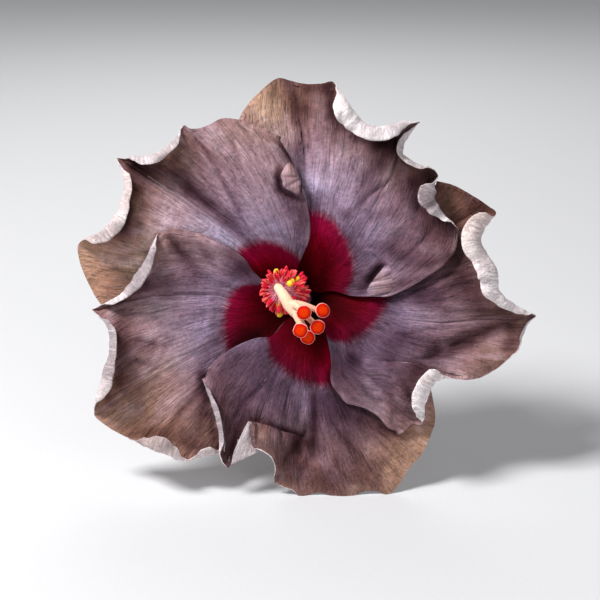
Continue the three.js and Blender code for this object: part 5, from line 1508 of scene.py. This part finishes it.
def make_style(material):
    """A trunk that widens until five arms part from it toward their pads."""
    shape = Shape()
    path = [face_to_flower(point) for point in STYLE_PATH]
    add_tube(shape, path, STYLE_RADII, sides=28, steps=40)
    parting = smooth_line(path, TRUNK_STEPS)[PARTING_STEP]
    bow = unit(face_to_flower(ARM_BOW)) * ARM_BOW_SIZE
    for name, (at, facing) in PADS.items():
        toward = unit(face_to_flower(facing))
        end = face_to_flower(at) - toward * ARM_END
        mouth = end - toward * ARM_MOUTH
        root = parting + unit(mouth - parting) * ARM_SEAT
        arm = [root, (root + mouth) / 2 + bow, mouth, end]
        flush = ARM_FLUSH_AND_SHADE[name in FLUSHED_AND_SHADED_ARMS]
        add_tube(shape, arm, ARM_RADII, sides=16, steps=26, tone=(flush, 0))
    shape.piece("style_and_arms", "style", [material])


def make_pad(name, at, facing, seed, material):
    """A shallow velvet cushion with a turned rim."""
    line = smooth_line(PAD_PROFILE, 40) * (PAD_RADIUS, PAD_HEIGHT)
    shape = Shape()
    add_lathe(shape, line, 56, face_to_flower(at), face_to_flower(facing), seed)
    shape.piece(name + "_pad", name, [material])


def make_calyx(material):
    """A cup that parts into five pointed, ribbed lobes behind the petals."""
    across, along = ((220, 54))
    column = np.arange(across)
    turn = column / across * CALYX_LOBES
    from_middle = np.abs(turn % 1 - 0.5) * 2
    reach = CALYX_CUP + (1 - CALYX_CUP) * (1 - from_middle**CALYX_TIP)
    angle = column / across * 2 * math.pi + math.radians(CALYX_BEARING)
    share = np.linspace(0, 1, along)[:, None] * reach[None]
    places = np.linspace(0, 1, CALYX_STEPS)
    rib = CALYX_RIB * np.cos(CALYX_RIBS * 2 * math.pi * turn)[None] * ramp(share, *CALYX_RIB_FADE)
    wave = lattice_noise(CALYX_SEED, turn[None] * CALYX_WAVES, 0)
    wave = CALYX_WAVE * wave * ramp(share, *CALYX_WAVE_FADE)
    faces = sheet_faces(along, across, closed=True)
    shape = Shape()
    for profile, sense, inside in ((CALYX_OUTSIDE, 1, 0.0), (CALYX_INSIDE, -1, 1.0)):
        line = smooth_line(profile, CALYX_STEPS)
        radius = np.interp(share, places, line[:, 0]) + sense * rib
        forward = np.interp(share, places, line[:, 1]) + wave
        maps = map_places(share.shape, from_middle, share)
        tone = map_places(share.shape, inside * (1 - ramp(share, *CALYX_THROAT)), 0)
        shape.add(about_axis(radius, forward, angle), faces[:, ::sense], 0, blade=maps, tone=tone)

    # The two skins meet along the lobes' edge
    first, second = (along - 1) * across, (2 * along - 1) * across
    for a, b in zip(column.tolist(), np.roll(column, -1).tolist()):
        shape.faces.append((second + a, second + b, first + b, first + a))
        shape.slots.append(0)
    add_hairs(shape)
    shape.piece("calyx_cup", "calyx", [material])


def add_hairs(shape):
    """Short soft hairs that stand on the calyx's outside."""
    draw = np.random.default_rng(HAIR_SEED).uniform
    line = smooth_line(CALYX_OUTSIDE, CALYX_STEPS)
    for _ in range(HAIRS):
        at = int(draw(*HAIR_ZONE))
        angle = draw(0, 2 * math.pi)
        slope = unit(line[at + 1] - line[at - 1])
        out = about_axis(slope[1], -slope[0], angle)
        root = about_axis(*line[at], angle) - HAIR_ROOT * out
        lean = unit(out + HAIR_LEAN * np.array([draw(-1, 1), draw(-1, 1), draw(-1, 1)]))
        add_hair(shape, root, lean, draw(*HAIR_LENGTHS))


def add_hair(shape, root, way, length):
    """A slim three-sided spike."""
    axes = turned_to(way)
    corner = np.array(HAIR_CORNERS)[:, None]
    base = root + HAIR_RADIUS * (axes[0] * np.cos(corner) + axes[1] * np.sin(corner))
    points = np.vstack([base, root + way * length])
    shape.add(points, [(0, 1, 3), (1, 2, 3), (2, 0, 3)], 0, blade=(0.5, 0.5), tone=(0, 0))


def make_epicalyx(material):
    """Narrow bracts from a collar round the stalk's top."""
    shape = Shape()
    ring = smooth_line([*COLLAR, COLLAR[0]], COLLAR_STEPS)
    angle = round_angles(COLLAR_SIDES)[None]
    size = (COLLAR_STEPS, COLLAR_SIDES)
    points = about_axis(ring[:, :1], ring[:, 1:], angle)
    maps = map_places(size, angle / COLLAR_MAP[0], COLLAR_MAP[1])
    shape.add(points, sheet_faces(*size, closed=True), 0, blade=maps, tone=(0, 0))
    for k in range(BRACTS):
        bend = np.array(BRACT_PATH)
        bend[-1, 1] += BRACT_STAGGER * (k % 2)
        path = about_axis(bend[:, 0], bend[:, 1], k / BRACTS * 2 * math.pi + BRACT_TURN)
        add_tube(shape, path, BRACT_RADII, sides=18, steps=40)
    shape.piece("bract_whorl", "epicalyx", [material])


def make_stalk(material):
    """The stalk from its socket under the calyx to its cut end on the floor."""
    shape = Shape()
    top = [to_room(face_to_flower(point)) * 1000 for point in STALK_TOP]
    rest = [np.array(point, float) + (FACE_MIDDLE[0], FACE_MIDDLE[1], 0) for point in STALK_FLOOR_END]
    steps = 240
    add_tube(shape, [*top, *rest], STALK_RADII, sides=40, steps=steps, ridge=STALK_RIDGES)
    shape.piece("stalk", "pedicel", [material], room=lambda points: points / 1000)


# The room


def make_floor():
    """A pale floor, which isn't part of the object."""
    bpy.ops.mesh.primitive_plane_add(size=FLOOR_SIZE, location=(0, 0, 0))
    floor = bpy.context.object
    floor.name = "floor"
    floor.data.materials.append(floor_material())


def make_room_light(scene):
    """Even light from all round."""
    world = bpy.data.worlds.new("room")
    scene.world = world
    world.use_nodes = True
    background = world.node_tree.nodes["Background"]
    background.inputs[0].default_value = ROOM_COLOUR
    background.inputs[1].default_value = ROOM_STRENGTH


def soft_light(scene, right, up, forward, size, power):
    """An area light placed from the middle of the flower's face along its own axes."""
    middle = Vector(FACE_MIDDLE) / 1000
    place = middle + Vector((right, 0, 0)) + UPWARD * up + TOWARD * forward
    light = bpy.data.lights.new("softbox", "AREA")
    light.size = size
    light.energy = power
    holder = bpy.data.objects.new("softbox", light)
    holder.location = place
    holder.rotation_euler = (middle - place).to_track_quat("-Z", "Y").to_euler()
    scene.collection.objects.link(holder)


def make_camera(scene):
    """The camera on the flower's own axis, aimed so that the throat falls on its pixel."""
    middle = Vector(FACE_MIDDLE) / 1000
    half = PHOTO_WIDTH / 2
    middle.x += (half - THROAT_PIXEL[0]) / PIXELS_PER_MM / 1000
    middle += UPWARD * (THROAT_PIXEL[1] - half) / PIXELS_PER_MM / 1000
    camera = bpy.data.objects.new("camera", bpy.data.cameras.new("camera"))
    camera.data.sensor_width = SENSOR_MM
    camera.data.lens = SENSOR_MM * CAMERA_DISTANCE * PIXELS_PER_MM / PHOTO_WIDTH
    camera.data.clip_start = CLIP_START
    camera.location = middle + TOWARD * CAMERA_DISTANCE / 1000
    camera.rotation_euler = (-TOWARD).to_track_quat("-Z", "Y").to_euler()
    scene.collection.objects.link(camera)
    scene.camera = camera


petal_materials = [petal_front(), petal_back()]
for number, (name, petal) in enumerate(PETALS.items()):
    make_petal(name, petal, SEED_STEP * number + FIRST_SEED, petal_materials)
make_stamens(stamen_material())
make_style(style_material())
velvet = pad_material()
for number, (name, (at, facing)) in enumerate(PADS.items()):
    make_pad(name, at, facing, number, velvet)
make_calyx(green_material("calyx_green"))
make_epicalyx(green_material("bract_green"))
make_stalk(green_material("stalk_green"))

scene = bpy.context.scene
scene.view_settings.view_transform = "Standard"
make_floor()
make_room_light(scene)
for soft_box in SOFT_BOXES:
    soft_light(scene, *soft_box)
make_camera(scene)
